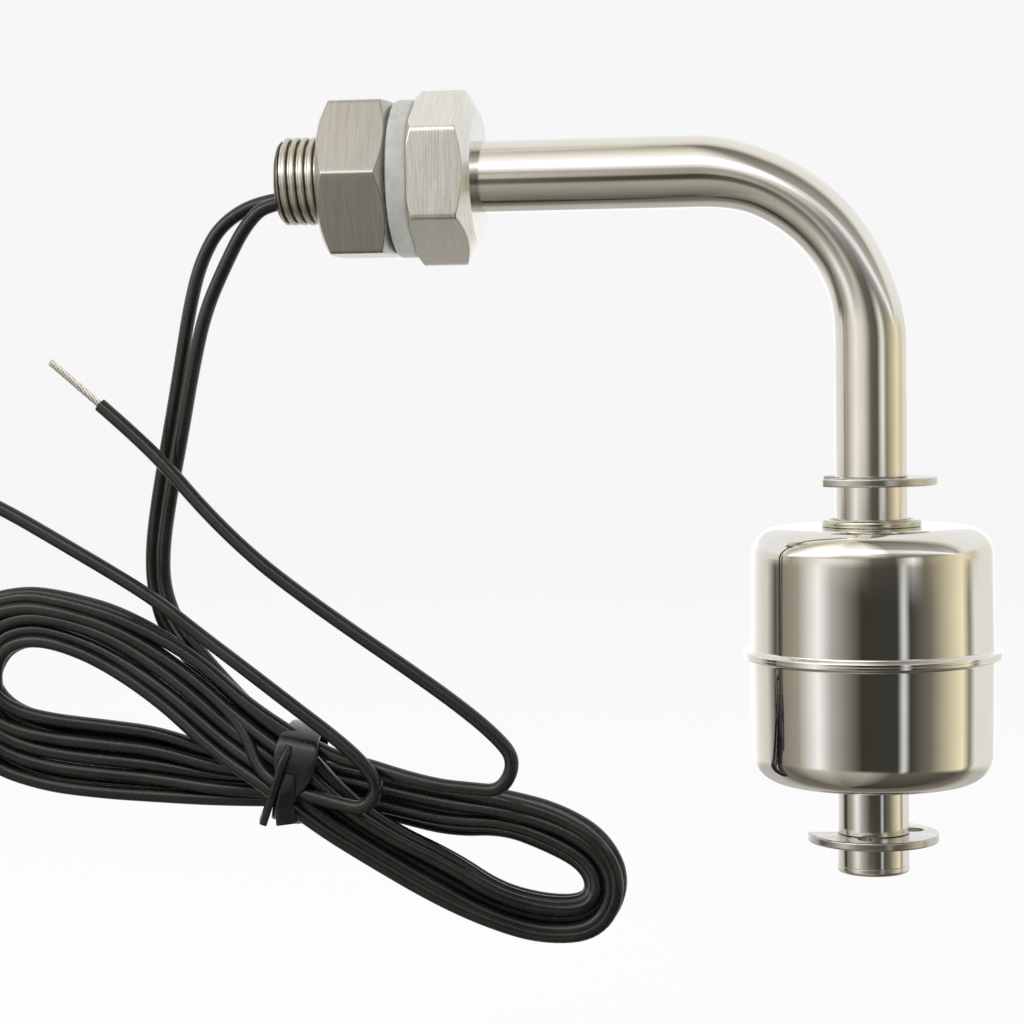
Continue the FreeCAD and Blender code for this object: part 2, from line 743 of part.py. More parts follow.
def bend_points(y, lift):
    """Corners of a route round the bend, on a line lift above the stem's axis."""
    centre_x, radius = reach.value - bend_r.value, bend_r.value + lift
    spread = 22.5
    out = radius / math.cos(math.radians(spread))
    corners = []
    for angle in (90 - spread, spread):
        a = math.radians(angle)
        corners.append((centre_x + out * math.cos(a), y, out * math.sin(a) - bend_r.value))
    return corners


def make_inner_leads():
    """The same two leads where the stem holds them, from the potting to the reed's joints."""
    reed_x = reach.value + REED_OFFSET[0]
    reed_y = REED_OFFSET[1]
    seam_z = -driving("seam_drop").value
    joint = BLADE_REACH + JOINT_LENGTH
    leg_x = reach.value + ARM_LIFT
    y1, z1 = LEAD_HOLES["lead_1"]
    y2, z2 = LEAD_HOLES["lead_2"]
    make_lead("lead_1_inner", [
        (plug_inner_x(), y1, z1), (16.0, y1 + 0.05, ARM_LIFT),
        *bend_points(y1, ARM_LIFT),
        (leg_x, y1 + 0.05, -27.0), (reed_x, reed_y, -34.0), (reed_x, reed_y, seam_z + joint)])
    turn_z = plug_top_z() + 1.9
    make_lead("lead_2_inner", [
        (plug_inner_x(), y2, z2), (-4.0, y2, z2), (12.0, y2, ARM_LIFT),
        *bend_points(y2, ARM_LIFT),
        (leg_x, y2, -30.0), (leg_x, y2 - 0.05, -58.0), (leg_x, y2, turn_z),
        (reed_x, reed_y, turn_z), (reed_x, reed_y, seam_z - joint)])


# the free leads: corners chosen by hand, from the potting to the hank and from the hank to the tips
LEAD_1_EXIT = [
    (-17.6, 1.0, -1.6), (-23.0, 0.9, -4.2), (-25.6, 0.8, -8.6), (-27.0, 0.7, -13.8), (-28.2, 0.8, -20.2),
    (-29.6, 1.0, -27.2), (-31.2, 1.3, -34.6), (-32.4, 1.7, -41.4), (-32.4, 2.0, -46.6), (-30.6, 2.4, -51.8)]
LEAD_2_EXIT = [
    (-17.0, -1.0, -2.2), (-19.8, -1.0, -4.6), (-22.4, -1.0, -9.4), (-24.8, -1.0, -14.6), (-26.4, -1.0, -21.2),
    (-27.8, -0.8, -28.2), (-29.4, -0.4, -35.2), (-30.6, 0.0, -41.6), (-30.6, 0.3, -46.6), (-28.8, 0.8, -51.6)]
LEAD_1_END = [
    (-6.5, -3.0, -66.2), (-2.0, -4.6, -67.0), (2.1, -5.0, -67.9), (5.5, -5.1, -68.2), (9.1, -5.2, -68.5),
    (10.8, -5.2, -64.9), (8.1, -5.2, -61.8), (3.7, -5.2, -58.3), (-1.4, -5.2, -54.7), (-7.3, -5.1, -50.7),
    (-13.5, -4.8, -46.4), (-18.9, -4.5, -42.3), (-24.3, -4.1, -37.2), (-28.8, -3.7, -32.1),
    (-33.2, -3.3, -27.9), (-36.7, -3.2, -24.9)]
LEAD_2_END = [
    (-12.2, -2.7, -69.5), (-9.4, -4.5, -70.2), (-6.3, -5.4, -70.6), (-4.6, -5.5, -68.0), (-6.6, -5.5, -65.2),
    (-9.7, -5.4, -62.5), (-13.6, -5.3, -59.6), (-20.4, -5.0, -54.5), (-25.2, -4.7, -51.0),
    (-29.8, -4.6, -47.4), (-34.2, -4.5, -44.6), (-41.5, -4.3, -40.4), (-48.5, -4.2, -36.4), (-55.6, -4.4, -33.0)]
TIP_LENGTH = 7.6


def make_tip(node, points):
    """Bare tinned strands that carry on in line from the end of the insulation."""
    before, end = (Vector(*point) for point in points[-2:])
    along = Rotation(Vector(0, 0, 1), end - before)
    tip = primitive("Part::Cylinder", node, {"Radius": driving("core_diameter") / 2, "Height": TIP_LENGTH},
                    at=tuple(end), turn=along)
    keep(node, tip)


def make_free_leads():
    for name, route in (("lead_1", LEAD_1_EXIT), ("lead_2", LEAD_2_EXIT)):
        y, z = LEAD_HOLES[name]
        make_lead(f"{name}_exit", [(plug_inner_x(), y, z)] + route)
    for name, route in (("lead_1", LEAD_1_END), ("lead_2", LEAD_2_END)):
        make_lead(f"{name}_end", route)
        make_tip(f"{name}_tip", route)


# ---------------------------------------------------------------------------------------------
# Hank and tie
# ---------------------------------------------------------------------------------------------

HANK_FRONT = -3.6
HANK_BACK = 5.4
HANK_OUTLINE = [
    (-59.0, -56.2), (-54.6, -47.8), (-44.6, -45.4), (-34.4, -48.0), (-24.4, -55.0), (-12.7, -62.4),
    (0.0, -67.2), (12.0, -70.2), (20.6, -74.6), (23.3, -81.4), (17.4, -86.8), (6.0, -84.8),
    (-6.6, -78.2), (-18.0, -72.6), (-32.0, -71.2), (-46.0, -69.4), (-55.4, -64.0)]
HANK_LEFT_EYE = [(-49.4, -56.2), (-45.6, -52.8), (-38.6, -55.4), (-32.6, -60.2), (-39.6, -61.2), (-46.4, -60.0)]
HANK_RIGHT_EYE = [(3.0, -75.0), (9.4, -75.2), (15.6, -79.6), (8.6, -79.6)]


def closed_curve(points):
    curve = Part.BSplineCurve()
    curve.interpolate([Vector(x, HANK_FRONT, z) for x, z in points], PeriodicFlag=True)
    return Part.Wire([curve.toShape()])


def make_lead_hank():
    """The wound length of both leads, as one solid with the two eyes of the hank."""
    face = Part.Face([closed_curve(HANK_OUTLINE), closed_curve(HANK_LEFT_EYE),
                      closed_curve(HANK_RIGHT_EYE)], "Part::FaceMakerBullseye")
    solid = face.extrude(Vector(0, HANK_BACK - HANK_FRONT, 0))
    rims = [edge for edge in solid.Edges if edge.BoundBox.YLength < 0.01]
    feature = doc.addObject("Part::Feature", "lead_hank")
    feature.Shape = solid.makeFillet(2.0, rims)
    feature.Placement = Placement()
    keep("lead_hank", feature)


def make_hank_tie():
    """A cut length of the same lead, wrapped round the hank's waist and twisted shut."""
    proud = 0.8  # how far the band stands out of the hank in front and behind
    tilt = Rotation(Vector(0, 1, 0), 12)
    sizes = {"Length": 4.4, "Width": HANK_BACK - HANK_FRONT + 2 * proud, "Height": 10.8}
    at = (-17.3, HANK_FRONT - proud, -72.6)
    band = primitive("Part::Box", "tie_band", sizes, at=at, turn=tilt)
    doc.recompute()
    rounded = doc.addObject("Part::Fillet", "tie_band_rounded")
    rounded.Base = band
    rounded.Edges = [(i, 1.4, 1.4) for i in range(1, 13)]
    keep("hank_tie", rounded)


# ---------------------------------------------------------------------------------------------
# Build
# ---------------------------------------------------------------------------------------------

make_threaded_fitting()
make_lock_nut()
make_sealing_gasket()
make_stem_tube()
make_stem_end_plug()
make_retaining_clip("upper_clip", driving("upper_clip_drop"), 180.0)
make_retaining_clip("lower_clip", driving("lower_clip_drop"), 142.0)
make_float()
make_reed_capsule()
make_reed_blade("reed_blade_upper", 1)
make_reed_blade("reed_blade_lower", -1)
make_reed_sleeve()
make_solder_joint("solder_joint_upper", 1)
make_solder_joint("solder_joint_lower", -1)
make_potting_plug()
make_inner_leads()
make_free_leads()
make_lead_hank()
make_hank_tie()
doc.recompute()

failed = [o.Name for o in doc.Objects if {"Invalid", "Error"} & set(o.State)]
if failed:
    raise RuntimeError(f"not built: {failed}")
for node, thing in pieces.items():
    if thing.Shape.isNull() or not thing.Shape.isValid() or not thing.Shape.Solids:
        raise RuntimeError(f"{node} is not a valid solid")

os.makedirs("parts", exist_ok=True)
for node, thing in pieces.items():
    thing.Shape.exportStep(f"parts/{node}.step")
    print(f"{node}: {len(thing.Shape.Solids)} solid, {thing.Shape.Volume:.1f} mm3")
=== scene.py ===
# %% [markdown]
# # A float level switch
#
# The real object is a small steel switch that goes through the wall of a tank. A float slides on
# the hanging leg of a bent tube and works a reed contact inside it, and two black leads come out
# of the thread, tied in a hank. The CAD model already holds every size and every moving part.
# This file gives it its surfaces: first the leads, then the steel, last the studio and finishes.
#
# It starts by loading the CAD model as a fixed frame. Everything is in the CAD model's own frame:
# the origin is on the thread's axis in the head's sealing face, +X runs along the arm and the leg
# hangs down -Z. Blender works in metres. Sizes are written in millimetres, as on a drawing, and
# are multiplied by MM where a mesh is made.

# %% Load the frame
import math

import bpy
import numpy as np
from mathutils import Matrix, Vector


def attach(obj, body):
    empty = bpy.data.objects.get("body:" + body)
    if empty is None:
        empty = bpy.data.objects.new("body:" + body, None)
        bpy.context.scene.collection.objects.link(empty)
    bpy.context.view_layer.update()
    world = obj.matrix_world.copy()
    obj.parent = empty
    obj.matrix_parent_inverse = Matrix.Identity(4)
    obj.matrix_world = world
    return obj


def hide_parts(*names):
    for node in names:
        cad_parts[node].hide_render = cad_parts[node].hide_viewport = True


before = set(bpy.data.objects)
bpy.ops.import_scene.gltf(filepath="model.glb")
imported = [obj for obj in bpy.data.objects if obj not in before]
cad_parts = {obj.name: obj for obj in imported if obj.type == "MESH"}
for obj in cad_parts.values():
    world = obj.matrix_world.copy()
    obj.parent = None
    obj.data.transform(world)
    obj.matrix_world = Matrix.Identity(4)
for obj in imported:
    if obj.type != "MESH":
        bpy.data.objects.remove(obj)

MM = 0.001
scene = bpy.context.scene
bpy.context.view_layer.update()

# %% [markdown]
# ## The camera
#
# A catalogue view of such a switch is taken from a little above, with a long lens, so that the arm
# and the leg both keep their true length. The camera is described the way someone would set it up
# by hand: which point it aims at, how far away it stands, how much it is turned, tilted and
# rolled. Three unit vectors then make its rotation matrix, which avoids guessing Euler angles.

# %% Place the camera
AIM = np.array([9.987, 0.0, -37.581]) * MM
DISTANCE = 276.237 * MM
YAW = math.radians(7.887)     # the camera stands a little to the +X side
PITCH = math.radians(3.035)   # and a little above
ROLL = math.radians(-0.796)
LENS = 86.19


def camera_axes(yaw, pitch, roll):
    """Right, up and back vectors: the line of sight from yaw and pitch, then a turn about it."""
    level = math.cos(pitch)
    sight = np.array([-math.sin(yaw) * level, math.cos(yaw) * level, -math.sin(pitch)])
    right = np.array([math.cos(yaw), math.sin(yaw), 0.0])
    up = np.cross(right, sight)
    turned_right = math.cos(roll) * right + math.sin(roll) * up
    turned_up = math.cos(roll) * up - math.sin(roll) * right
    return turned_right, turned_up, -sight


right, up, back = camera_axes(YAW, PITCH, ROLL)
camera_data = bpy.data.cameras.new("main_camera")
camera_data.sensor_width = 36.0
camera_data.lens = LENS
camera_data.clip_start = 0.01
camera = bpy.data.objects.new("main_camera", camera_data)
placed = np.eye(4)
placed[:3, :3] = np.stack([right, up, back], axis=1)
placed[:3, 3] = AIM + DISTANCE * back
camera.matrix_world = Matrix(placed.tolist())
scene.collection.objects.link(camera)
scene.camera = camera
print("camera at", np.round(placed[:3, 3] / MM, 1), "mm")

# %% [markdown]
# ## Surfaces from arrays
#
# Nearly every piece of this switch is turned on a lathe, bent from tube or carried along a path,
# and each of those is one idea: a point that depends on two parameters. So a single helper turns a
# grid of points into a mesh. Where a direction closes on itself, as around a tube, the last row
# is joined to the first. Where a row is a single point, triangles round one vertex close the pole.

# %% Grid to mesh
def unit(vectors):
    """Vectors over their lengths."""
    return vectors / np.linalg.norm(vectors, axis=-1, keepdims=True)


def full_turn(count):
    """Angles all the way round, in equal steps."""
    return 2 * np.pi * np.arange(count) / count


def circle(angle, first, second):
    """Points first * cos(angle) + second * sin(angle)."""
    return np.cos(angle)[:, None] * first + np.sin(angle)[:, None] * second


def surface(name, points, around=True, along=False, poles=(False, False)):
    """Mesh of a grid of points [i, j]: j runs around, i runs along; poles closes an end."""
    points = np.asarray(points, float)
    rows, columns = points.shape[:2]
    low = 1 if poles[0] else 0
    high = rows - 1 if poles[1] else rows
    vertices = points[low:high].reshape(-1, 3)
    index = np.arange(len(vertices)).reshape(high - low, columns)
    following = np.roll(index, -1, axis=1) if around else index[:, 1:]
    current = index if around else index[:, :-1]
    next_row = np.roll(following, -1, axis=0), np.roll(current, -1, axis=0)
    quads = np.stack([current, following, *next_row], axis=-1)
    quads = (quads if along else quads[:-1]).reshape(-1, 4)
    fans = []
    for closed, tip_row, first, second in (
            (poles[0], 0, following[0], current[0]), (poles[1], -1, current[-1], following[-1])):
        if closed:
            tip = len(vertices)
            vertices = np.vstack([vertices, points[tip_row].mean(axis=0)])
            fans.append(np.stack([first, second, np.full(len(first), tip)], axis=-1))
    triangles = np.vstack(fans) if fans else np.zeros((0, 3), int)
    corners = np.concatenate([quads.ravel(), triangles.ravel()])
    starts = np.concatenate([
        np.arange(len(quads)) * 4, len(quads) * 4 + np.arange(len(triangles)) * 3])
    mesh = bpy.data.meshes.new(name)
    mesh.vertices.add(len(vertices))
    mesh.vertices.foreach_set("co", vertices.astype(np.float32).ravel())
    mesh.loops.add(len(corners))
    mesh.loops.foreach_set("vertex_index", corners.astype(np.int32))
    mesh.polygons.add(len(starts))
    mesh.polygons.foreach_set("loop_start", starts.astype(np.int32))
    mesh.update(calc_edges=True)
    mesh.validate()
    mesh.shade_smooth()
    piece = bpy.data.objects.new(name, mesh)
    scene.collection.objects.link(piece)
    return piece


def face_out(piece):
    """Turn faces over where the signed volume, every triangle's determinant over 6, is negative."""
    mesh = piece.data
    mesh.calc_loop_triangles()
    corners = np.empty(len(mesh.vertices) * 3)
    mesh.vertices.foreach_get("co", corners)
    picked = np.empty(len(mesh.loop_triangles) * 3, np.int32)
    mesh.loop_triangles.foreach_get("vertices", picked)
    a, b, c = corners.reshape(-1, 3)[picked.reshape(-1, 3)].transpose(1, 0, 2)
    volume = float(np.einsum("ij,ij->i", a, np.cross(b, c)).sum() / 6)
    if volume < 0:
        piece.data.flip_normals()
    return abs(volume)


def finish_piece(piece, body, *nodes):
    """Face the piece outwards, hang it on its body and hide the nodes it replaces."""
    volume = face_out(piece)
    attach(piece, body)
    if nodes:
        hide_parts(*nodes)
    print(f"{piece.name}: {len(piece.data.polygons)} faces, {volume / MM**3:.1f} mm3")
    return piece


print("grids become meshes, sizes in metres")

# %% [markdown]
# ## Where the leads run
#
# The leads come before the steel, because they decide how far the object spreads. Each lead is one
# length of black insulated wire: out of the resin in the thread, down into the hank, round it in
# figures of eight, and out again to a bare end. A cord should be one smooth line, so each lead is
# a single NURBS spline, and its free stretches are the CAD model's own route points.

# %% Routes of the free stretches
LEAD = 1.6 * MM
LEAD_1_OUT = np.array([
    (-11.3, 1.0, -1.5), (-17.6, 1.0, -1.6), (-23.0, 0.9, -4.2), (-25.6, 0.8, -8.6),
    (-27.0, 0.7, -13.8), (-28.2, 0.8, -20.2), (-29.6, 1.0, -27.2), (-31.2, 1.3, -34.6),
    (-32.4, 1.7, -41.4), (-32.4, 2.0, -46.6), (-30.8, 2.0, -52.0)]) * MM
LEAD_2_OUT = np.array([
    (-11.3, -1.0, -2.1), (-17.0, -1.0, -2.2), (-19.8, -1.0, -4.6), (-22.4, -1.0, -9.4),
    (-24.8, -1.0, -14.6), (-26.4, -1.0, -21.2), (-27.8, -0.8, -28.2), (-29.4, -0.4, -35.2),
    (-30.6, 0.0, -41.6), (-30.6, 0.3, -46.6), (-28.6, 0.6, -51.4)]) * MM
LEAD_1_BACK = np.array([
    (-11.0, -2.9, -64.9), (-6.5, -3.6, -65.8), (-2.0, -4.6, -67.0), (2.1, -5.0, -67.9),
    (5.5, -5.1, -68.2), (9.1, -5.2, -68.5), (10.8, -5.2, -64.9), (8.1, -5.2, -61.8),
    (3.7, -5.2, -58.3), (-1.4, -5.2, -54.7), (-7.3, -5.1, -50.7), (-13.5, -4.8, -46.4),
    (-18.9, -4.5, -42.3), (-24.3, -4.1, -37.2), (-28.8, -3.7, -32.1), (-33.2, -3.3, -27.9),
    (-36.7, -3.2, -24.9)]) * MM
LEAD_2_BACK = np.array([
    (-18.8, -3.4, -67.2), (-14.2, -4.2, -68.9), (-9.6, -4.7, -70.1), (-6.3, -5.4, -70.6),
    (-4.6, -5.5, -68.0), (-6.6, -5.5, -65.2), (-9.7, -5.4, -62.5), (-13.6, -5.3, -59.6),
    (-20.4, -5.0, -54.5), (-25.2, -4.7, -51.0), (-29.8, -4.6, -47.4), (-34.2, -4.5, -44.6),
    (-41.5, -4.3, -40.4), (-48.5, -4.2, -36.4), (-55.6, -4.4, -33.0)]) * MM
ways = {"lead_1": (LEAD_1_OUT, LEAD_1_BACK), "lead_2": (LEAD_2_OUT, LEAD_2_BACK)}
for name, (way_out, way_back) in ways.items():
    print(f"{name}: {len(way_out)} points out and {len(way_back)} points back")

# %% [markdown]
# ## The hank
#
# The hank is a figure of eight squeezed in the middle. One turn is a short list of stations round
# the eight, each with the half width and the depth that the bundle has there. A strand keeps its
# own place across the bundle, so that the strands run side by side, and it changes place only at
# the far left, where one turn leads into the next. Turns wound by hand are never even, so each
# has a slow wander of its own, drawn from a seeded generator.

# %% Stations of one turn of the hank
TURNS = 5
# x, z, half width of the bundle and depth of its middle: down the upper left limb, through the tie
# to the right loop, back behind the tie and round the left loop
EIGHT = np.array([
    (-29.0, -56.6, 4.0, -0.6), (-22.1, -62.6, 4.0, -1.4), (-16.3, -66.4, 3.7, -1.9),
    (-11.0, -71.4, 3.0, -1.4), (-5.0, -75.5, 2.8, -0.6), (1.6, -79.1, 3.2, 0.0),
    (7.2, -82.3, 2.7, 0.4), (13.1, -84.0, 2.9, 0.8), (18.5, -83.7, 2.9, 1.2),
    (20.2, -80.1, 2.7, 1.7), (18.3, -76.5, 2.8, 2.1), (13.8, -74.1, 2.9, 2.5),
    (8.4, -72.5, 2.6, 2.9), (2.4, -72.2, 3.2, 3.3), (-4.0, -70.9, 2.9, 3.5),
    (-10.5, -69.4, 2.7, 3.6), (-17.4, -68.8, 3.0, 3.6), (-25.1, -68.4, 3.3, 3.5),
    (-32.4, -66.9, 4.3, 3.1), (-39.0, -66.2, 4.5, 2.5), (-45.3, -65.4, 4.5, 1.9),
    (-50.4, -63.6, 4.6, 1.4), (-53.6, -60.0, 4.7, 1.0), (-54.3, -55.2, 4.7, 0.8),
    (-52.0, -50.8, 4.2, 0.5), (-47.4, -49.2, 3.6, 0.3), (-42.6, -49.8, 3.4, 0.1),
    (-36.3, -51.9, 3.7, -0.2)])
SWAP_FROM, SWAP_TO = 20, 25  # stations between which a strand moves on to its next place

# places in the bundle's section: across from -1 to 1, and in the front or the back layer
ACROSS = np.array([0.45, 0.95, -0.05, -0.55, -1.0, -1.0, -0.5, 0.0, 1.0, 0.5])
LAYER = np.repeat([1.0, -1.0], TURNS)
WANDER = 0.2                 # size of a turn's unevenness in mm
FIRST_SEED = 11


def hank_turns(lead, wander):
    """Centre points of one lead's turns: the eight's stations, plus the strand's place across it.

    Across the bundle a strand stands its share of the half width, less its own radius, along the
    eight's normal in the plane of the hank. In depth it stands half a layer in front of or behind
    the middle, and neighbours that are closer than a diameter step apart.
    """
    middle = EIGHT[:, :2]
    ahead = unit(np.roll(middle, -1, axis=0) - np.roll(middle, 1, axis=0))
    normal = np.stack([-ahead[:, 1], ahead[:, 0]], axis=1)
    thick = LEAD / MM
    room = EIGHT[:, 2] - 0.5 * thick
    crowding = 0.5 * np.sqrt(np.maximum(0.0, thick**2 - (2 * room / 4) ** 2))
    swap = np.clip((np.arange(len(EIGHT)) - SWAP_FROM) / (SWAP_TO - SWAP_FROM), 0, 1)
    swap = swap * swap * (3 - 2 * swap)
    turns = []
    for turn in range(TURNS):
        here = 2 * turn + lead
        after = min(here + 2, 2 * TURNS - 2 + lead)
        share = ACROSS[here] + (ACROSS[after] - ACROSS[here]) * swap
        layer = LAYER[here] + (LAYER[after] - LAYER[here]) * swap
        step = crowding * (1 if turn % 2 else -1) * (1 if lead else -1)
        across = share * room + wander[turn, 0]
        depth = EIGHT[:, 3] + layer * (0.45 * thick + 0.5 * crowding) + step + wander[turn, 1]
        xz = middle + normal * across[:, None]
        turns.append(np.stack([xz[:, 0], depth, xz[:, 1]], axis=1))
    return np.concatenate(turns) * MM


def soft_wander(count, stations, size, seed):
    """Slow unevenness of hand-wound turns: three sine waves of random phase round the eight."""
    random = np.random.default_rng(seed)
    waves = np.arange(1, 4)[:, None]
    phase = random.uniform(0, 2 * np.pi, (count, 2, 3, 1))
    height = random.normal(0, size, (count, 2, 3, 1)) / np.sqrt(waves)
    return (height * np.sin(waves * full_turn(stations) + phase)).sum(axis=2)


print(f"one turn has {len(EIGHT)} stations, the bundle {len(ACROSS)} strands")

# %% Lay the two leads
def lay_lead(name, lead, start, end):
    """One open NURBS spline through a lead's way out, its turns and its way back to its bare end.

    The tube's radius is the bevel depth times the radius of the points. With a depth of 1 the
    points carry the radius themselves, which is what the box round a curve is worked out from.
    """
    turns = hank_turns(lead, soft_wander(TURNS, len(EIGHT), WANDER, FIRST_SEED + lead))
    last = turns[-len(EIGHT):][:2]
    route = np.concatenate([start, turns[1:], last, end])
    curve = bpy.data.curves.new(name, "CURVE")
    curve.dimensions = "3D"
    curve.bevel_depth = 1.0
    curve.bevel_resolution = 5
    curve.use_fill_caps = True
    spline = curve.splines.new("NURBS")
    spline.points.add(len(route) - 1)
    spline.points.foreach_set("co", np.column_stack([route, np.ones(len(route))]).ravel())
    spline.points.foreach_set("radius", np.full(len(route), LEAD / 2))
    spline.order_u = 3
    spline.use_endpoint_u = True
    spline.resolution_u = 8
    piece = bpy.data.objects.new(name, curve)
    scene.collection.objects.link(piece)
    print(f"{name}: one spline of {len(route)} points")
    return piece


leads = {}
for lead, (name, (way_out, way_back)) in enumerate(ways.items()):
    leads[name] = lay_lead(name, lead, way_out, way_back)
    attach(leads[name], "stem")
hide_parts("lead_1_exit", "lead_1_end", "lead_hank")
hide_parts("lead_2_exit", "lead_2_end")

# %% [markdown]
# ## Outlines with rounded corners
#
# A polished edge is never sharp: it shows as a thin bright line, because a small round there
# catches the light. On a lathe part the whole shape is one outline turned about an axis, so the
# rounds belong in the outline. The helper below cuts each corner back by its radius and puts an
# arc there. One more point on each side, just past the arc, keeps smooth shading off the flats.

# %% Rounded outlines
ARC_STEPS = 6


def rounded(corners, radii, steps=ARC_STEPS):
    """Closed outline with arcs at its corners, for many outlines at once.

    corners is [corner, outline, 2]. A corner's arc touches both sides at radius over the tangent
    of half its angle, never further than 0.45 of a side, and its centre is on the bisector.
    """
    corners = np.asarray(corners, float)
    if corners.ndim == 2:
        corners = corners[:, None, :]
    radii = np.broadcast_to(np.asarray(radii, float).reshape(-1, 1), corners.shape[:2])
    to_last = np.roll(corners, 1, axis=0) - corners
    to_next = np.roll(corners, -1, axis=0) - corners
    side_last, side_next = np.linalg.norm(to_last, axis=2), np.linalg.norm(to_next, axis=2)
    to_last, to_next = to_last / side_last[..., None], to_next / side_next[..., None]
    half = 0.5 * np.arccos(np.clip((to_last * to_next).sum(axis=2), -1, 1))
    reach = np.minimum(radii / np.tan(half), 0.45 * np.minimum(side_last, side_next))
    radius = reach * np.tan(half)
    centre = corners + unit(to_last + to_next) * (radius / np.sin(half))[..., None]
    begin, end = corners + to_last * reach[..., None], corners + to_next * reach[..., None]
    share = np.linspace(0, 1, steps + 1)[None, :, None, None]
    spread = np.pi - 2 * half[:, None, :, None]
    a, b = (begin - centre)[:, None], (end - centre)[:, None]
    arc = (np.sin((1 - share) * spread) * a + np.sin(share * spread) * b) / np.sin(spread)
    arc = centre[:, None] + arc
    before = begin + to_last * (0.2 * reach)[..., None]
    after = end + to_next * (0.2 * reach)[..., None]
    points = np.concatenate([before[:, None], arc, after[:, None]], axis=1)
    return points.reshape(-1, *corners.shape[1:])


def divided(outline, longest):
    """A closed outline [point, 2] with every side longer than a length cut into equal parts."""
    following = np.roll(outline, -1, axis=0)
    length = np.linalg.norm(following - outline, axis=1)
    parts = np.maximum(1, np.ceil(length / longest)).astype(int)
    owner = np.repeat(np.arange(len(outline)), parts)
    share = (np.arange(len(owner)) - np.repeat(np.cumsum(parts) - parts, parts)) / parts[owner]
    return outline[owner] + (following - outline)[owner] * share[:, None]


def turned(name, outline, centre, axis, columns=192, poles=(False, False)):
    """Solid of revolution: outline [point, 2] holds height along the axis and radius, in mm."""
    first = np.array([0.0, 1.0, 0.0])
    around = circle(full_turn(columns), first, np.cross(axis, first))
    height, radius = outline.T[..., None, None]
    points = radius * around + height * np.asarray(axis) + np.asarray(centre)
    return surface(name, points * MM, along=not any(poles), poles=poles)


print(f"a corner becomes {ARC_STEPS + 3} points")

# %% [markdown]
# ## The fitting and the lock nut
#
# The head and the nut are cut from hexagon bar and chamfered on a lathe, which leaves an arched
# edge on every flat where the cone runs out. With the radius of the bar written as a function of
# the angle, the place where the cone meets it is a formula too, so the grid's own lines follow
# the arches and the edges come out clean.

# %% Fitting and nut
ACROSS_FLATS = 17.0
HEAD = 6.8
THREAD_END = 15.8
CREST, ROOT, THREAD_PITCH = 4.95, 4.36, 1.0
THREAD_BORE = 3.5
STEM = 4.0                   # outer radius of the tube, and of its socket in the head
ARM_START = 2.3              # the socket's bottom
GASKET = 2.4                 # the gasket's thickness; the nut bears on it
NUT = 7.9
NUT_BORE, NUT_CHAMFER = 5.0, 0.5
HEAD_LEFT_RIM, HEAD_RIGHT_RIM, NUT_RIM = 8.95, 7.35, 8.0  # where the cones meet the end faces
COLUMNS = 240
SLOPE = math.tan(math.radians(30))
angle = full_turn(COLUMNS)


def hexagon_radius(angle, corner_at, sharpness=110):
    """Radius of hexagon bar: half the width over a smooth greatest of the cosines to its flats."""
    to_flat = angle[:, None] - corner_at - np.radians(30 + 60 * np.arange(6))
    near = np.maximum(np.cos(to_flat), 0) ** sharpness
    return ACROSS_FLATS / 2 / near.sum(axis=1) ** (1 / sharpness)


def hexagon_part(name, left, left_rim, right, right_rim, corner_at, inside):
    """Hexagon bar coned at both faces; inside lists the bore's corners, right to left."""
    bar = hexagon_radius(angle, corner_at)
    one = np.ones_like(bar)
    rim = np.minimum(left_rim, bar - 0.02)
    left_run = np.maximum((bar - left_rim) * SLOPE, 0.02)
    right_run = (bar - right_rim) * SLOPE
    outside = [(left * one, rim), (left + left_run, bar),
               (right - right_run, bar), (right * one, right_rim * one)]
    outside += [(x * one, r * one) for x, r in inside]
    corners = np.stack([np.stack(pair, axis=-1) for pair in outside])
    radii = [0.15, 0.2, 0.2, 0.2] + [0.06] * len(inside)
    outline = rounded(corners, radii)
    x, r = outline[..., 0], outline[..., 1]
    points = np.stack([x, r * np.cos(angle), r * np.sin(angle)], axis=-1)
    return surface(name, points * MM, along=True)


fitting = hexagon_part(
    "fitting_body", 0.0, HEAD_LEFT_RIM, HEAD, HEAD_RIGHT_RIM, math.radians(90),
    [(HEAD, STEM), (ARM_START, STEM), (ARM_START, THREAD_BORE), (0.3 - THREAD_END, THREAD_BORE),
     (-THREAD_END, 3.8), (-THREAD_END, 4.28), (-THREAD_END + 0.08, ROOT), (0.0, ROOT)])
finish_piece(fitting, "stem", "threaded_fitting")
nut_right, nut_left = -GASKET, -GASKET - NUT
nut = hexagon_part(
    "lock_nut_body", nut_left, NUT_RIM, nut_right, NUT_RIM, 0.0,
    [(nut_right, NUT_BORE + NUT_CHAMFER), (nut_right - NUT_CHAMFER, NUT_BORE),
     (nut_left + NUT_CHAMFER, NUT_BORE), (nut_left, NUT_BORE + NUT_CHAMFER)])
finish_piece(nut, "nut", "lock_nut")

# %% [markdown]
# ## The thread
#
# A thread is one ridge that climbs round the shank, a millimetre a turn, right-handed. Rings cut
# into the shank would be simpler, but they don't climb, and that shows at the outline. So the
# ridge is a piece of its own, carried along a helix, until the lathe's chamfer cuts it off.

# %% Helical ridge
RIDGE_STEPS = 96
SUNK = 0.05                  # how deep the ridge's foot lies in the shank
CREST_SHAPE = ((0.29, 0.82), (0.22, 0.94), (0.11, 0.99))  # distance from the crest, share of height


